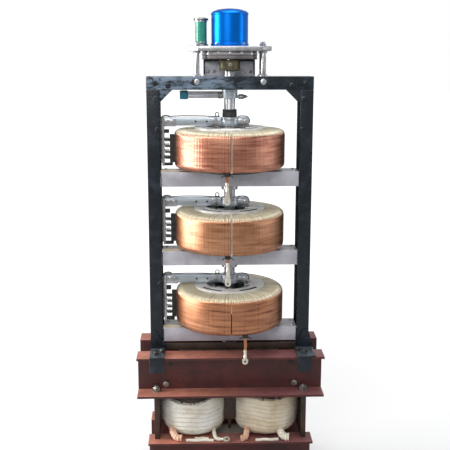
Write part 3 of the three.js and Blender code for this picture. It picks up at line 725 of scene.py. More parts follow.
def tapPiece(gang):
    # copper tail, dark clip at the winding, crimped barrel and flattened palm with its hole
    low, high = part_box("tap_" + gang)
    x = (low.x + high.x) / 2
    y = (low.y + high.y) / 2
    top = high.z
    bm = bmesh.new()
    length = tapLook["length"][gang]
    sway = [(0, 0.0002), (length * 0.3, -0.0005), (length * 0.65, 0.0007), (length + 0.004, 0)]
    rings = []
    for drop, lean in sway:
        w, t = tapLook["strap"], tapLook["strapThick"]
        rings.append([bm.verts.new((x + dx * w + lean, y + dy * t, top - drop))
                      for dx, dy in ((-1, -1), (1, -1), (1, 1), (-1, 1))])
    for a, b in zip(rings, rings[1:]):
        for k in range(4):
            n = (k + 1) % 4
            bm.faces.new((a[k], a[n], b[n], b[k]))
    bm.faces.new(rings[0])
    bm.faces.new(rings[-1][::-1])
    finishPiece("tap_tail_" + gang, bm, "root", bareCopper)
    bm = bmesh.new()
    addBlock(bm, (x - 0.0075, y - 0.0035, top - 0.009), (x + 0.0075, y + 0.0035, top - 0.001), 0.001)
    for lean in (-1, 1):
        addTube(bm, [(x + lean * 0.005, y, top - 0.004), (x + lean * 0.012, y - 0.002, top - 0.0075),
                     (x + lean * 0.0155, y - 0.002, top - 0.011)], 0.0012, 8)
    finishPiece("tap_clip_" + gang, bm, "root", blackRubber)
    barrelHigh = min(0.024, high.z - low.z - length - 2 * tapLook["palm"])
    barrelFoot = top - length - barrelHigh
    bm = bmesh.new()
    r = tapLook["barrel"]
    crimp = [(0, 0), (1, 0), (1, 0.33), (0.8, 0.42), (0.8, 0.58), (1, 0.67), (1, 0.97), (0.75, 1), (0, 1)]
    addLathe(bm, [(size * r, part * barrelHigh) for size, part in crimp], 20, (x, y, barrelFoot))
    palm, hole = tapLook["palm"], tapLook["hole"]
    centre = low.z + palm
    outline = [(-0.0045, barrelFoot - 0.001 - centre), (-palm, 0.006)]
    outline += [(palm * math.cos(math.radians(a)), palm * math.sin(math.radians(a)))
                for a in range(180, 361, 15)]
    outline += [(palm, 0.006), (0.0045, barrelFoot - 0.001 - centre)]
    count = len(outline)
    inner = []
    for u, v in outline:
        a = math.atan2(v, u)
        inner.append((hole * math.cos(a), hole * math.sin(a)))
    layers = []
    for ring in (outline, inner):
        for side in (-1, 1):
            layers.append([bm.verts.new((x + u, y + side * tapLook["palmThick"], centre + v)) for u,
                           v in ring])
    for a, b in ((0, 1), (1, 3), (3, 2), (2, 0)):
        for k in range(count):
            n = (k + 1) % count
            bm.faces.new((layers[a][k], layers[a][n], layers[b][n], layers[b][k]))
    piece = finishPiece("tap_lug_" + gang, bm, "root", tinnedCopper)
    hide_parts("tap_" + gang)


for gang in gangs:
    tapPiece(gang)

# brush gear, turned by the shaft

springLook = {"coil": 0.0052, "wire": 0.0008, "turns": 5, "steps": 12,
              "heights": [0.0365, 0.0525, 0.0685, 0.0845]}


def springPiece(gang, base):
    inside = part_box("brush_holder_" + gang)[1].x
    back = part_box("winding_" + gang)[0].x - 0.0123
    run = back - inside
    bm = bmesh.new()
    for height in springLook["heights"]:
        count = springLook["turns"] * springLook["steps"]
        path = []
        for i in range(count + 1):
            t = i / count
            a = 2 * math.pi * springLook["turns"] * t
            squeeze = 0.0009 + (run - 0.0018) * t
            path.append((inside + squeeze, springLook["coil"] * math.cos(a),
                         base + height + springLook["coil"] * math.sin(a)))
        addTube(bm, path, springLook["wire"], 6)
    piece = finishPiece("brush_springs_" + gang, bm, "rotor", boltSteel)
    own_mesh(piece)


def braidPath(bm, path, radius, strands=3):
    # strands laid round one another along a path
    path = smoothPath(path, 8)
    for s in range(strands):
        line = []
        for i, spot in enumerate(path):
            ahead = (path[min(i + 1, len(path) - 1)] - path[max(i - 1, 0)]).normalized()
            side = ahead.orthogonal().normalized()
            other = ahead.cross(side)
            a = 2 * math.pi * s / strands + i * 0.9
            line.append(spot + (side * math.cos(a) + other * math.sin(a)) * radius * 0.5)
        addTube(bm, line, radius * 0.52, 6)


def brushGear(gang):
    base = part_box("shelf_" + gang)[1].z
    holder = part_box("brush_holder_" + gang)
    softened("brush_holder_" + gang, "rotor", zincSteel, 0.0007, 1)
    softened("brush_arm_" + gang, "rotor", armAluminium, 0.0012)
    springPiece(gang, base)
    outside, inside = holder[0].x, holder[1].x
    armLow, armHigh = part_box("brush_arm_" + gang)
    bm = bmesh.new()  # insulating blocks above and below the brush
    addBlock(bm, (inside + 0.0002, -0.0105, base + 0.0145), (inside + 0.022, 0.0105, base + 0.0205), 0.001)
    addBlock(bm, (inside + 0.0002, -0.0095, base + 0.1025), (inside + 0.013, 0.0095, base + 0.1115), 0.0012)
    finishPiece("brush_blocks_" + gang, bm, "rotor", blackRubber)
    bm = bmesh.new()  # angle that joins holder and arm, with its screws
    addBlock(bm, (inside + 0.0003, -0.0098, armLow.z - 0.002), (inside + 0.032, -0.0072, armHigh.z - 0.003),
             0.0006)
    for x in (0.01, 0.024):
        addBolt(bm, (inside + x, -0.0097, armLow.z + 0.011), (0, -1, 0), 0.008, 0.0036)
    for z in (0.118, 0.134):
        addLathe(bm, [(0, 0), (0.0042, 0), (0.0042, 0.0008), (0.003, 0.0022), (0, 0.0028)], 16,
                 (outside + 0.0002, 0.004, base + z), (-1, 0, 0))
    finishPiece("holder_angle_" + gang, bm, "rotor", zincSteel)
    bm = bmesh.new()  # braided pigtails, from the arm's tip down the outside of the holder
    for y in (-0.0085, 0.0085):  # on each side of the guide pins
        x = outside - 0.0022
        braidPath(bm, [(inside + 0.016, y * 0.5, armHigh.z + 0.0022), (inside + 0.004, y, armHigh.z + 0.0045),
                       (x, y, armHigh.z - 0.002), (x, y * 1.06, base + 0.118), (x - 0.0004, y, base + 0.085),
                       (x, y, base + 0.047), (x, y, base + 0.027)], 0.0021)
    finishPiece("pigtails_" + gang, bm, "rotor", braidGrey)
    bm = bmesh.new()  # terminals of the pigtails
    addBlock(bm, (outside - 0.003, -0.0112, base + 0.0215), (outside - 0.0001, 0.0112, base + 0.0315), 0.0008)
    addLathe(bm, [(0, 0), (0.005, 0), (0.005, 0.0012), (0.003, 0.0014), (0.003, 0.003), (0, 0.003)], 18,
             (inside + 0.017, 0, armHigh.z))
    finishPiece("pigtail_ends_" + gang, bm, "rotor", zincSteel)
    bm = bmesh.new()  # lead that arches along the top of the arm, with a small loop near the boss
    z = armHigh.z
    loop = [(-0.034 + 0.005 * math.sin(math.radians(a)), -0.002,
             z + 0.0075 - 0.0052 * math.cos(math.radians(a)))
            for a in range(0, 331, 30)]
    addTube(bm, smoothPath([(inside + 0.02, -0.002, z + 0.003), (-0.12, -0.003, z + 0.0042),
                            (-0.07, -0.002, z + 0.0035),
                            (-0.045, -0.002, z + 0.002)] + loop + [(-0.027, -0.004, z + 0.002)], 5), 0.0012, 8)
    addTube(bm, smoothPath([(0.022, -0.002, z + 0.0022), (0.034, -0.003, z + 0.0034),
                            (0.047, -0.004, z + 0.0018),
                            (0.0535, -0.006, z - 0.006), (0.0525, -0.0085, z - 0.0145),
                            (0.046, -0.0092, z - 0.019)], 6),
            0.0013, 8)
    finishPiece("arm_lead_" + gang, bm, "rotor", blackRubber)
    bm = bmesh.new()  # split collar on the boss, its pinch block and bolt
    r = (armHigh.y - armLow.y) / 2
    addBlock(bm, (0.014, -0.0125, armLow.z + 0.002), (0.0525, -0.0072, armHigh.z - 0.003), 0.0012)
    addBlock(bm, (-0.05, -0.0095, armLow.z + 0.001), (-0.034, -0.0068, armHigh.z - 0.001), 0.0008)
    addBolt(bm, (0.043, -0.0122, armLow.z + 0.0105), (0, -1, 0), 0.009, 0.004)
    addLathe(bm, [(0, 0), (r + 0.0012, 0), (r + 0.0012, 0.0055), (r - 0.001, 0.0068), (0, 0.0068)], 40,
             (0, 0, armHigh.z - 0.0078))
    finishPiece("arm_collar_" + gang, bm, "rotor", zincSteel)
    bm = bmesh.new()  # black discs on the arm's face, painted shade of its holes, and a black strip painted as the shade in the collar's split
    for x in (-0.147, -0.092, -0.062):
        addLathe(bm, [(0, 0), (0.0028, 0), (0.0028, 0.0004), (0, 0.0004)], 16, (x, -0.007, armLow.z + 0.011),
                 (0, -1, 0))
    addBlock(bm, (-0.0015, -0.0135, armLow.z + 0.0005), (0.0015, -0.0131, armHigh.z - 0.0005), 0)
    finishPiece("arm_hole_shade_" + gang, bm, "rotor", blackRubber)


for gang in gangs:
    brushGear(gang)
print("brush gear made")

# shaft, limit gear, coupling

softened("main_shaft", "rotor", zincSteel, 0.001)
softened("coupling", "rotor", oldBrass, 0.0016)
bm = bmesh.new()  # collars on the shaft under each shelf, and the dark sleeve over the highest arm
for gang in gangs:
    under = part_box("shelf_" + gang)[0].z
    addLathe(bm, [(0.0152, 0), (0.021, 0), (0.0225, 0.0015), (0.0225, 0.0095), (0.021, 0.011),
                  (0.0152, 0.011),
                  (0.0152, 0)], 36, (0, 0, under - 0.0125))
finishPiece("shaft_collars", bm, "rotor", zincSteel)
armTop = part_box("brush_arm_upper")[1].z
bm = bmesh.new()
addLathe(bm, [(0.0151, 0), (0.0195, 0), (0.0195, 0.0125), (0.0185, 0.014), (0.0195, 0.0155), (0.0195, 0.0195),
              (0.018, 0.021), (0.0151, 0.021), (0.0151, 0)], 36, (0, 0, armTop + 0.0004))
finishPiece("shaft_sleeve", bm, "rotor", blackRubber)

softened("limit_arm", "rotor", armAluminium, 0.001)
limitLow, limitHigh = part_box("limit_arm")
armBand = (limitLow.z, limitLow.z + 0.018)
bm = bmesh.new()  # two face strips with a groove between them, and a stiffening rib behind
for low, high in ((0.0008, 0.0078), (0.0104, 0.0174)):
    addBlock(bm, (limitLow.x + 0.006, -0.0045, armBand[0] + low), (-0.0225, -0.0023, armBand[0] + high),
             0.0007)
addBlock(bm, (-0.1, 0.0023, armBand[0] + 0.006), (-0.022, 0.0042, armBand[0] + 0.012), 0.0006)
finishPiece("limit_arm_strips", bm, "rotor", shelfZinc)
bm = bmesh.new()
addBlock(bm, (limitLow.x - 0.006, -0.0085, armBand[0] - 0.003),
         (limitLow.x + 0.016, 0.0085, armBand[0] + 0.0205), 0.003, 3)
finishPiece("limit_arm_pad", bm, "rotor", tealPlastic)
bm = bmesh.new()  # clamp nut left of the sleeve, screw with a point on the right
addBolt(bm, (-0.0205, 0, armBand[0] + 0.008), (-1, 0, 0), 0.016, 0.011, 1.15)
tipX = limitHigh.x
addLathe(bm, [(0, 0), (0.0062, 0), (0.0066, 0.001), (0.0066, 0.013), (0.0045, 0.0145), (0.0045, 0.019),
              (0, 0.026)], 18,
         (tipX - 0.018, 0, armBand[0] + 0.004), (1, 0, 0))
finishPiece("limit_arm_screw", bm, "rotor", boltSteel)

couplingLow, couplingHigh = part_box("coupling")
couplingMid = (couplingLow.z + couplingHigh.z) / 2
couplingRadius = (couplingHigh.x - couplingLow.x) / 2
bm = bmesh.new()  # grub screws round the coupling, and its jaws
for angle in (-90, 30, 150):
    a = math.radians(angle)
    out = (math.cos(a), math.sin(a), 0)
    spot = [c * (couplingRadius - 0.001) for c in out[:2]]
    addLathe(bm, [(0, 0), (0.0042, 0), (0.0042, 0.0016), (0.0022, 0.0017), (0.002, 0.0008), (0, 0.0008)], 18,
             (spot[0], spot[1], couplingMid + 0.002), out)
finishPiece("coupling_screws", bm, "rotor", zincSteel)
bm = bmesh.new()
for k in range(40):
    a = 2 * math.pi * k / 40
    turn = Matrix.Rotation(a, 4, "Z")
    for z in (couplingLow.z + 0.0015, couplingHigh.z - 0.0075):
        addBlock(bm, (couplingRadius - 0.001, -0.0011, z), (couplingRadius + 0.0005, 0.0011, z + 0.006),
                 0.0004, 1, turn)
finishPiece("coupling_ribs", bm, "rotor", oldBrass)
softened("motor_shaft", "rotor", zincSteel, 0.0005, 1)
for side in sideSigns:
    softened("limit_switch_" + side, "root", tealPlastic, 0.0008)
print("shaft and limit gear made")

# drive head

softened("motor_plate", "root", zincSteel, 0.0016)
softened("gear_case", "root", gearGrey, 0.0022)
softened("drive_bracket", "root", shelfZinc, 0.0008)
for face in faceSigns:
    for side in sideSigns:
        softened(f"standoff_{face}_{side}", "root", zincSteel, 0.0008)

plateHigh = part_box("motor_plate")[1]
gearLow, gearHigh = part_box("gear_case")
postLow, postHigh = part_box("standoff_front_right")
postX, postY = (postLow.x + postHigh.x) / 2, (postLow.y + postHigh.y) / 2
bm = bmesh.new()  # nuts over and under the plate at each standoff, and flanged feet on the beam
for sx in (-1, 1):
    for sy in (-1, 1):
        spot = (sx * abs(postX), sy * abs(postY))
        addBolt(bm, (*spot, plateHigh.z - 0.0003), (0, 0, 1), 0.0125, 0.007, 1.3, 0.005)
        addLathe(bm, [(0.0068, 0), (0.011, 0), (0.011, 0.0035), (0.009, 0.0045), (0.0068, 0.0045),
                      (0.0068, 0)], 24,
                 (*spot, postLow.z))
        addLathe(bm, [(0.0068, 0), (0.01, 0.0006), (0.01, 0.005), (0.0068, 0.0056), (0.0068, 0)], 6,
                 (*spot, postHigh.z - 0.006))
finishPiece("standoff_nuts", bm, "root", zincSteel)


def stadiumBand(bm, half, radius, z0, z1, proud, steps=16):
    # a band that runs round a case with straight sides and round ends
    outline = []
    for centre, start in ((half, -90), (-half, 90)):
        for i in range(steps + 1):
            a = math.radians(start + 180 * i / steps)
            outline.append((centre, math.cos(a), math.sin(a)))
    rings = []
    for size, z in ((radius - 0.001, z0), (radius + proud, z0 + 0.0004), (radius + proud, z1 - 0.0004),
                    (radius - 0.001, z1)):
        rings.append([bm.verts.new((cx + size * cx2, size * sy, z)) for cx, cx2, sy in outline])
    rings.append(rings[0])
    count = len(outline)
    for a, b in zip(rings, rings[1:]):
        for k in range(count):
            n = (k + 1) % count
            bm.faces.new((a[k], a[n], b[n], b[k]))


gearRadius = (gearHigh.y - gearLow.y) / 2
gearHalf = (gearHigh.x - gearLow.x) / 2 - gearRadius
gearMid = (gearLow.z + gearHigh.z) / 2
bm = bmesh.new()
stadiumBand(bm, gearHalf, gearRadius, gearMid - 0.001, gearMid + 0.001, 0.0007)
stadiumBand(bm, gearHalf, gearRadius, gearLow.z - 0.0002, gearLow.z + 0.0018, 0.0009)
finishPiece("gear_case_gasket", bm, "root", blackRubber)
bm = bmesh.new()
stadiumBand(bm, gearHalf, gearRadius, gearMid + 0.0012, gearMid + 0.0046, 0.0014)
for x in (-0.056, -0.03, 0.0, 0.03, 0.056):
    y = -(gearRadius if abs(x) <= gearHalf else math.sqrt(gearRadius ** 2 - (abs(x) - gearHalf) ** 2))
    addLathe(bm, [(0, 0), (0.003, 0), (0.003, 0.0012), (0.0018, 0.0022), (0, 0.0022)], 14,
             (x, y + 0.0002, gearHigh.z - 0.0045),
             (0, -1, 0))
finishPiece("gear_case_flange", bm, "root", zincSteel)

wallLow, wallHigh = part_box("drive_bracket")
bm = bmesh.new()  # dark angle along the top of the bracket, and its fixing screws
addBlock(bm, (wallLow.x + 0.001, wallLow.y - 0.004, wallHigh.z - 0.005),
         (wallHigh.x - 0.001, wallLow.y + 0.0005, wallHigh.z - 0.0008), 0.0008)
for x in (wallLow.x + 0.0005, wallHigh.x - 0.004):
    addBlock(bm, (x, wallLow.y - 0.0025, wallLow.z + 0.004),
             (x + 0.0035, wallLow.y + 0.0004, wallHigh.z - 0.004), 0.0006)
finishPiece("bracket_angles", bm, "root", blackPaint)
bm = bmesh.new()
for x in (-0.058, -0.04, 0.04, 0.058):
    addBolt(bm, (x, wallLow.y + 0.0003, wallLow.z + 0.012), (0, -1, 0), 0.007, 0.0035)
    addBolt(bm, (x, wallHigh.y - 0.003, wallLow.z + 0.02), (0, 1, 0), 0.007, 0.0035)
finishPiece("bracket_screws", bm, "root", boltSteel)

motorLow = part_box("motor")[0]
motorRadius = 0.049
motorLook = {"steps": 72, "profile": [(0, 0), (0.049, 0), (0.0505, 0.0015), (0.0505, 0.006),
                                      (0.0487, 0.0075), (0.0487, 0.012),
                                      (0.0482, 0.0125), (0.0482, 0.0135), (0.0487, 0.014), (0.0487, 0.08),
                                      (0.0497, 0.0812),
                                      (0.0497, 0.0842), (0.048, 0.0868), (0.043, 0.0905), (0.036, 0.092),
                                      (0.034, 0.0935),
                                      (0.022, 0.0955), (0.01, 0.0968), (0, 0.097)]}
bm = bmesh.new()
addLathe(bm, motorLook["profile"], motorLook["steps"], (0, 0, motorLow.z + 0.0002))
for k in range(4):
    a = math.pi / 4 + k * math.pi / 2
    spot = (motorRadius * math.cos(a), motorRadius * math.sin(a), motorLow.z + 0.0002)
    addLathe(bm, [(0, 0), (0.0058, 0), (0.006, 0.0005), (0.006, 0.004), (0.0054, 0.0048), (0, 0.0048)], 20,
             spot)
piece = finishPiece("motor_can", bm, "root", blueEnamel, 28)
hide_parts("motor")
bm = bmesh.new()
for k in range(4):
    a = math.pi / 4 + k * math.pi / 2
    addBolt(bm, ((motorRadius + 0.0005) * math.cos(a), (motorRadius + 0.0005) * math.sin(a),
                 motorLow.z + 0.0048), (0, 0, 1), 0.008, 0.0045)
finishPiece("motor_screws", bm, "root", zincSteel)
bm = bmesh.new()  # cable gland and the two motor leads that go down behind the plate
addLathe(bm, [(0, 0), (0.008, 0), (0.008, 0.008), (0.0062, 0.009), (0.0062, 0.014), (0, 0.014)], 6,
         (0, 0.0478, motorLow.z + 0.024), (0, 1, 0))
for x in (-0.002, 0.002):
    route = [(x, 0.058, 0.024), (x, 0.066, 0.019), (x * 2, 0.067, 0.004), (x * 3, 0.0575, -0.014),
             (x * 3, 0.045, -0.019), (x * 3, 0.0395, -0.02)]
    addTube(bm, smoothPath([(px, py, motorLow.z + pz) for px, py, pz in route], 6), 0.0018, 8)
finishPiece("motor_gland", bm, "root", blackRubber)

resLow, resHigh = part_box("resistor")
resX = (resLow.x + resHigh.x) / 2
bm = bmesh.new()  # wire-wound tube under thick enamel
profile = [(0, 0.0002), (0.0147, 0.0002)]
for i in range(29):
    z = 0.006 + 0.06 * i / 28
    profile += [(0.01485, z - 0.0007), (0.01535, z)]
profile += [(0.0147, 0.0718), (0, 0.0718)]
addLathe(bm, profile, 48, (resX, 0, resLow.z))
piece = finishPiece("resistor_tube", bm, "root", greenEnamel, 60)
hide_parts("resistor")
bm = bmesh.new()
for z in (0.0002, 0.0668):
    addLathe(bm, [(0.0145, 0), (0.019, 0), (0.0192, 0.0006), (0.0192, 0.0042), (0.0186, 0.005),
                  (0.0145, 0.005), (0.0145, 0)], 44,
             (resX, 0, resLow.z + z))
finishPiece("resistor_flanges", bm, "root", boltSteel)
bm = bmesh.new()
addLathe(bm, [(0, 0), (0.0135, 0), (0.0135, 0.0012), (0.009, 0.0022), (0, 0.0022)], 32,
         (resX, 0, resHigh.z - 0.0002))
for z in (0.0085, 0.0625):
    addLathe(bm, [(0.0152, 0), (0.0162, 0), (0.0162, 0.003), (0.0152, 0.003), (0.0152, 0)], 40,
             (resX, 0, resLow.z + z))
    addBlock(bm, (resX - 0.0025, -0.0235, resLow.z + z), (resX + 0.0025, -0.0155, resLow.z + z + 0.003),
             0.0005)
finishPiece("resistor_caps", bm, "root", zincSteel)
print("drive head made")

# frame fittings

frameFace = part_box("leg_left")[0].y
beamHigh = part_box("top_beam")[1]
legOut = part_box("leg_right")[1].x
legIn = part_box("leg_right")[0].x
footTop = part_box("foot_left")[1].z
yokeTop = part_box("yoke_channel_front")[1].z
frameLook = {"bolts": [(0.164, 1.098, 0.011), (0.197, 1.063, 0.012), (0.194, 0.983, 0.009),
                       (0.193, 0.56, 0.009),
                       (0.2, 1.105, 0.009)],  # x, z, width across the flats
             "beamBolt": 0.088, "shelfScrew": 0.024}
bm = bmesh.new()  # bolts through beam, gussets and legs, front and rear
for sx in (-1, 1):
    for sy in (-1, 1):
        y = sy * (abs(frameFace) - 0.0002)
        for x, z, across in frameLook["bolts"]:
            addBolt(bm, (sx * x, y, z), (0, sy, 0), across, 0.0055, 1.4)
finishPiece("frame_bolts", bm, "root", blackPaint)
bm = bmesh.new()
for sx in (-1, 1):
    for sy in (-1, 1):
        y = sy * (abs(frameFace) - 0.0002)
        addBolt(bm, (sx * frameLook["beamBolt"], y, beamHigh.z - 0.014), (0, sy, 0), 0.009, 0.0045, 1.7)
    for gang in gangs:  # screws that hold each shelf's ends
        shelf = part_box("shelf_" + gang)
        for y in (-frameLook["shelfScrew"], frameLook["shelfScrew"]):
            addLathe(bm, [(0, 0), (0.0045, 0), (0.0045, 0.001), (0.003, 0.0026), (0, 0.0032)], 16,
                     (sx * (legIn - 0.012), y, shelf[1].z - 0.0002))
finishPiece("beam_bolts", bm, "root", zincSteel)

bm = bmesh.new()  # weld beads where the shelves and feet meet the legs
random.seed(12)
for sx in (-1, 1):
    for gang in gangs:
        low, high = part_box("shelf_" + gang)
        for sy in (-1, 1):
            path = [(sx * (legIn - 0.0004 + random.uniform(-0.0006, 0.0004)),
                     sy * (abs(frameFace) - 0.0003 + random.uniform(-0.0004, 0.0006)),
                     low.z + 0.002 + (high.z - low.z - 0.004) * i / 14) for i in range(15)]
            addTube(bm, path, [random.uniform(0.0014, 0.0023) for _ in path], 7)
    for sy in (-1, 1):
        path = [(sx * (legIn + 0.002 + (legOut - legIn - 0.004) * i / 12),
                 sy * (abs(frameFace) + random.uniform(-0.0004, 0.0008)),
                 footTop + random.uniform(0, 0.0008)) for i in range(13)]
        addTube(bm, path, [random.uniform(0.0018, 0.003) for _ in path], 7)
finishPiece("weld_beads", bm, "root", blackPaint)


def wedge(bm, corners, y0, y1):
    # a flat plate with a few corners in XZ, between two depths
    near = [bm.verts.new((x, y0, z)) for x, z in corners]
    far = [bm.verts.new((x, y1, z)) for x, z in corners]
    bm.faces.new(near)
    bm.faces.new(far[::-1])
    for k in range(len(corners)):
        n = (k + 1) % len(corners)
        bm.faces.new((near[k], near[n], far[n], far[k]))


footLook = {"spread": [(-1, 0.0015, 0.006), (1, 0.011, 0.002)], "gussetHeight": 0.05, "gussetThick": 0.004,
            "web": (0.0385, 0.112), "bolts": [(0.205, 0.088), (0.189, 0.07)]}
bm = bmesh.new()  # gusset plates that spread each leg onto its foot, wider on the right
for sx, out, reach in footLook["spread"]:
    for sy in (-1, 1):
        y = sy * (abs(frameFace) + 0.0002)
        corners = [(legOut - 0.016, footLook["gussetHeight"]), (legOut - 0.002, footLook["gussetHeight"]),
                   (legOut + out, 0.006), (legOut + out, 0), (legIn - reach, 0), (legIn - reach, 0.01),
                   (legIn + 0.008, 0.026)]
        wedge(bm, [(sx * x, footTop + z) for x, z in corners], y, y + sy * footLook["gussetThick"])
        if sx > 0:  # a web from the leg out to the toe of the foot
            near, far = sorted(sy * reachY for reachY in footLook["web"])
            addBlock(bm, (legOut - 0.002, near, footTop - 0.0055), (legOut + out, far, footTop - 0.0002),
                     0.001)
bmesh.ops.recalc_face_normals(bm, faces=bm.faces)
finishPiece("foot_gussets", bm, "root", blackPaint)
bm = bmesh.new()
for sx in (-1, 1):
    for sy in (-1, 1):
        for x, y in footLook["bolts"]:
            addBolt(bm, (sx * x, sy * y, footTop - 0.0003), (0, 0, 1), 0.013, 0.009, 1.35, 0.003)
finishPiece("foot_bolts", bm, "root", darkSteel)
bm = bmesh.new()  # flat tie bars between the feet, under the lowest shelf
for sy in (-1, 1):
    low, high = sorted((sy * 0.0372, sy * 0.0322))
    addBlock(bm, (-legIn + 0.0005, low, yokeTop + 0.0003), (legIn - 0.0005, high, yokeTop + 0.019), 0.001)
finishPiece("tie_bars", bm, "root", postPaint)

bm = bmesh.new()  # pale packing strips at the left end of each shelf
for gang in gangs:
    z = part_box("shelf_" + gang)[1].z
    path = [(-legIn + 0.001 + 0.07 * i / 8, -0.0285 + 0.0006 * math.sin(i), z + 0.0028) for i in range(9)]
    addTube(bm, path, [0.003] * 8 + [0.0036], 10)
    addBlock(bm, (-legIn + 0.001, -0.0365, z + 0.0001), (-legIn + 0.052, -0.0225, z + 0.0028), 0.0009)
finishPiece("shelf_strips", bm, "root", creamBoard)
print("frame fittings made")

# transformer fittings

webFace = 0.0519  # front of the yoke's web, and its mirror behind
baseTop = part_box("base_channel_front")[1].z
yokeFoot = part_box("yoke_channel_front")[0].z
softened("yoke_bolt_left", "root", boltSteel, 0.001)
softened("yoke_bolt_right", "root", boltSteel, 0.001)
bm = bmesh.new()  # nuts on the flanges over the side posts, front and rear
for sx in (-1, 1):
    for sy in (-1, 1):
        addBolt(bm, (sx * 0.206, sy * 0.066, yokeFoot + 0.0058), (0, 0, 1), 0.019, 0.012, 1.35, 0.005)
        addBolt(bm, (sx * 0.206, sy * 0.066, baseTop - 0.0062), (0, 0, -1), 0.019, 0.012, 1.35, 0.005)
finishPiece("post_nuts", bm, "root", boltSteel)
bm = bmesh.new()  # spare holes in the yoke webs, each a black disc on the web: painted shade of a bore in a worn rim
for x, z in ((-0.166, 0.327), (0.172, 0.333), (0.0, 0.34)):
    for sy in (-1, 1):
        addLathe(bm, [(0, 0), (0.0055, 0), (0.0055, 0.0005), (0, 0.0005)], 20, (x, sy * webFace, z),
                 (0, sy, 0))
finishPiece("web_hole_shade", bm, "root", blackRubber)


def leadEnd(points, radius, material, name, lug=None):
    bm = bmesh.new()
    path = smoothPath(points, 7)
    count = len(path)
    random.seed(len(name))
    sizes = [radius * (1 + 0.1 * math.sin(i * 1.9) + random.uniform(-0.04, 0.04)) for i in range(count)]
    addTube(bm, path, sizes, 12)
    finishPiece(name, bm, "root", material)
    if lug:
        bm = bmesh.new()
        end = path[-1]
        sx = lug
        addLathe(bm, [(radius * 0.55, 0), (radius * 0.8, 0.0004), (radius * 0.8, 0.012),
                      (radius * 0.55, 0.0124), (radius * 0.55, 0)], 16,
                 (end.x - sx * 0.002, end.y, end.z), (sx, 0, 0))
        centre = Vector((end.x + sx * 0.019, end.y, end.z))
        addLathe(bm, [(0.004, -0.0012), (0.0095, -0.0012), (0.0098, 0), (0.0095, 0.0012), (0.004, 0.0012),
                      (0.004, -0.0012)], 26,
                 centre, (0, -0.35, 1))
        finishPiece(name + "_lug", bm, "root", tinnedCopper)


deck = baseTop + 0.0002
# each lead end: radius, finish, which way its lug points, and (x, y, height over the flange) points
leadLook = {
    "left_start": (0.0095, peachWrap, None, [(-0.165, -0.05, 0.03), (-0.162, -0.075, 0.022),
                                             (-0.152, -0.09, 0.0105), (-0.137, -0.094, 0.009)]),
    "left_end": (0.0055, whiteSleeve, 1, [(-0.045, -0.05, 0.028), (-0.046, -0.078, 0.018),
                                          (-0.04, -0.092, 0.0065), (-0.03, -0.095, 0.005)]),
    "right_start": (0.0085, peachWrap, None, [(0.05, -0.05, 0.03), (0.046, -0.08, 0.02),
                                              (0.041, -0.092, 0.009), (0.03, -0.096, 0.0078)]),
    "right_end": (0.0105, whiteSleeve, None, [(0.138, -0.05, 0.026), (0.142, -0.08, 0.018),
                                              (0.15, -0.093, 0.0105), (0.164, -0.096, 0.0095)]),
}
for name, (radius, material, lug, points) in leadLook.items():
    leadEnd([(x, y, deck + z) for x, y, z in points], radius, material, "lead_" + name, lug)
bm = bmesh.new()  # sleeved leads lying along the base flange
for x0, x1, y in ((-0.125, -0.048, -0.099), (0.07, 0.134, -0.1), (-0.1, -0.062, -0.088)):
    path = [(x0 + (x1 - x0) * i / 8, y + 0.0016 * math.sin(i * 1.4 + x0 * 50),
             deck + 0.0045) for i in range(9)]
    addTube(bm, path, 0.0042, 10)
finishPiece("flange_sleeves", bm, "root", whiteSleeve)
bm = bmesh.new()  # pressboard barrier between the two coils
addBlock(bm, (-0.005, -0.03, baseTop + 0.006), (0.005, 0.03, yokeFoot - 0.003), 0.0015)
for y in (-0.0415, 0.0375):
    addBlock(bm, (-0.0165, y, baseTop + 0.04), (0.0165, y + 0.004, yokeFoot - 0.002), 0.001)
finishPiece("coil_barrier", bm, "root", postPaint)
bm = bmesh.new()  # edges of the core's laminations showing between the coils
low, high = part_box("transformer_core")
for i in range(22):
    y = low.y + 0.003 + (high.y - low.y - 0.006) * i / 21
    for z in (0.1015, 0.2645):
        addBlock(bm, (-0.062, y - 0.0011, min(z, z - 0.0006)), (0.062, y + 0.0011, z + 0.0006), 0)
finishPiece("lamination_edges", bm, "root", steelCore)
for gang in gangs:
    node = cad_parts["carbon_brush_" + gang]
    node.data.materials.clear()
    node.data.materials.append(carbonBlack)
for side in sideSigns:
    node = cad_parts["limit_lever_" + side]
    node.data.materials.clear()
    node.data.materials.append(zincSteel)
print("transformer fittings made")

# light, world and floor

lamps = [
    ("keySoft", (-2.3, -0.05, 0.95), (0, -0.05, 0.8), 0.95, 2.0, 66, (1.0, 0.98, 0.95)),
    ("frontSoft", (-0.9, -2.9, 2.3), (0, 0, 0.7), 1.6, 1.2, 34, (1, 1, 1)),
    ("rightSoft", (2.4, -0.5, 1.1), (0, 0, 0.8), 0.35, 1.8, 7, (0.96, 0.98, 1.0)),
    ("topSoft", (0.1, -0.3, 3.0), (0, 0, 1.0), 1.6, 1.6, 26, (1, 1, 1)),
]
for name, place, aim, wide, tall, power, color in lamps:
    lampData = bpy.data.lights.new(name, "AREA")
    lampData.shape = "RECTANGLE"
    lampData.size = wide
    lampData.size_y = tall
    lampData.energy = power
    lampData.color = color
    lamp = bpy.data.objects.new(name, lampData)
    lamp.location = place
    lamp.rotation_euler = (Vector(aim) - Vector(place)).to_track_quat("-Z", "Y").to_euler()
    scene.collection.objects.link(lamp)

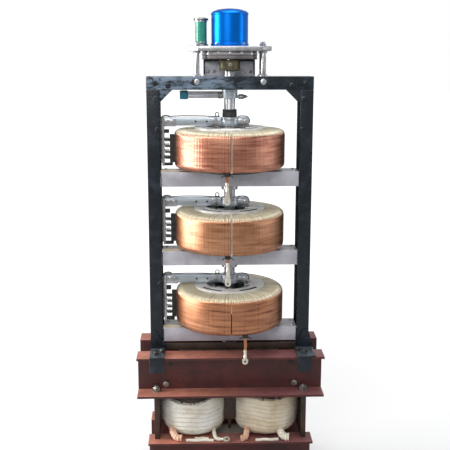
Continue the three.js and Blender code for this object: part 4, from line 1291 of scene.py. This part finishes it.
world = bpy.data.worlds.new("studio")
scene.world = world
world.use_nodes = True
nodes, links = world.node_tree.nodes, world.node_tree.links
light = nodes["Background"]
light.inputs["Color"].default_value = (0.95, 0.97, 1.0, 1)
light.inputs["Strength"].default_value = 0.5
seen = nodes.new("ShaderNodeBackground")
seen.inputs["Color"].default_value = (1, 1, 1, 1)
seen.inputs["Strength"].default_value = 1.0
rays = nodes.new("ShaderNodeLightPath")
anySeen = nodes.new("ShaderNodeMath")
anySeen.operation = "MAXIMUM"
links.new(rays.outputs["Is Camera Ray"], anySeen.inputs[0])
links.new(rays.outputs["Is Transmission Ray"], anySeen.inputs[1])
pick = nodes.new("ShaderNodeMixShader")
links.new(anySeen.outputs["Value"], pick.inputs["Fac"])
links.new(light.outputs["Background"], pick.inputs[1])
links.new(seen.outputs["Background"], pick.inputs[2])
links.new(pick.outputs["Shader"], nodes["World Output"].inputs["Surface"])

floorMat = bpy.data.materials.new("paleFloor")
floorMat.use_nodes = True
nodes, links = floorMat.node_tree.nodes, floorMat.node_tree.links
paleBsdf = nodes["Principled BSDF"]
paleBsdf.inputs["Base Color"].default_value = (0.5, 0.5, 0.5, 1)
paleBsdf.inputs["Roughness"].default_value = 0.9
paleBsdf.inputs["Specular IOR Level"].default_value = 0.1
glow = nodes.new("ShaderNodeEmission")
coords = nodes.new("ShaderNodeTexCoord")
away = nodes.new("ShaderNodeVectorMath")
away.operation = "LENGTH"
links.new(coords.outputs["Object"], away.inputs[0])
links.new(spanNode(nodes, links, away.outputs["Value"], 0.5, 2.6, 0.48, 0.95, True), glow.inputs["Strength"])
rays = nodes.new("ShaderNodeLightPath")
dark = nodes.new("ShaderNodeEmission")
dark.inputs["Strength"].default_value = 0
onlySeen = nodes.new("ShaderNodeMixShader")
links.new(rays.outputs["Is Camera Ray"], onlySeen.inputs["Fac"])
links.new(dark.outputs["Emission"], onlySeen.inputs[1])
links.new(glow.outputs["Emission"], onlySeen.inputs[2])
total = nodes.new("ShaderNodeAddShader")
links.new(paleBsdf.outputs["BSDF"], total.inputs[0])
links.new(onlySeen.outputs["Shader"], total.inputs[1])
links.new(total.outputs["Shader"], nodes["Material Output"].inputs["Surface"])
bm = bmesh.new()
bmesh.ops.create_grid(bm, x_segments=1, y_segments=1, size=30)
floorMesh = bpy.data.meshes.new("floor")
bm.to_mesh(floorMesh)
bm.free()
floorMesh.materials.append(floorMat)
floor = bpy.data.objects.new("floor", floorMesh)
scene.collection.objects.link(floor)
print("stage made")
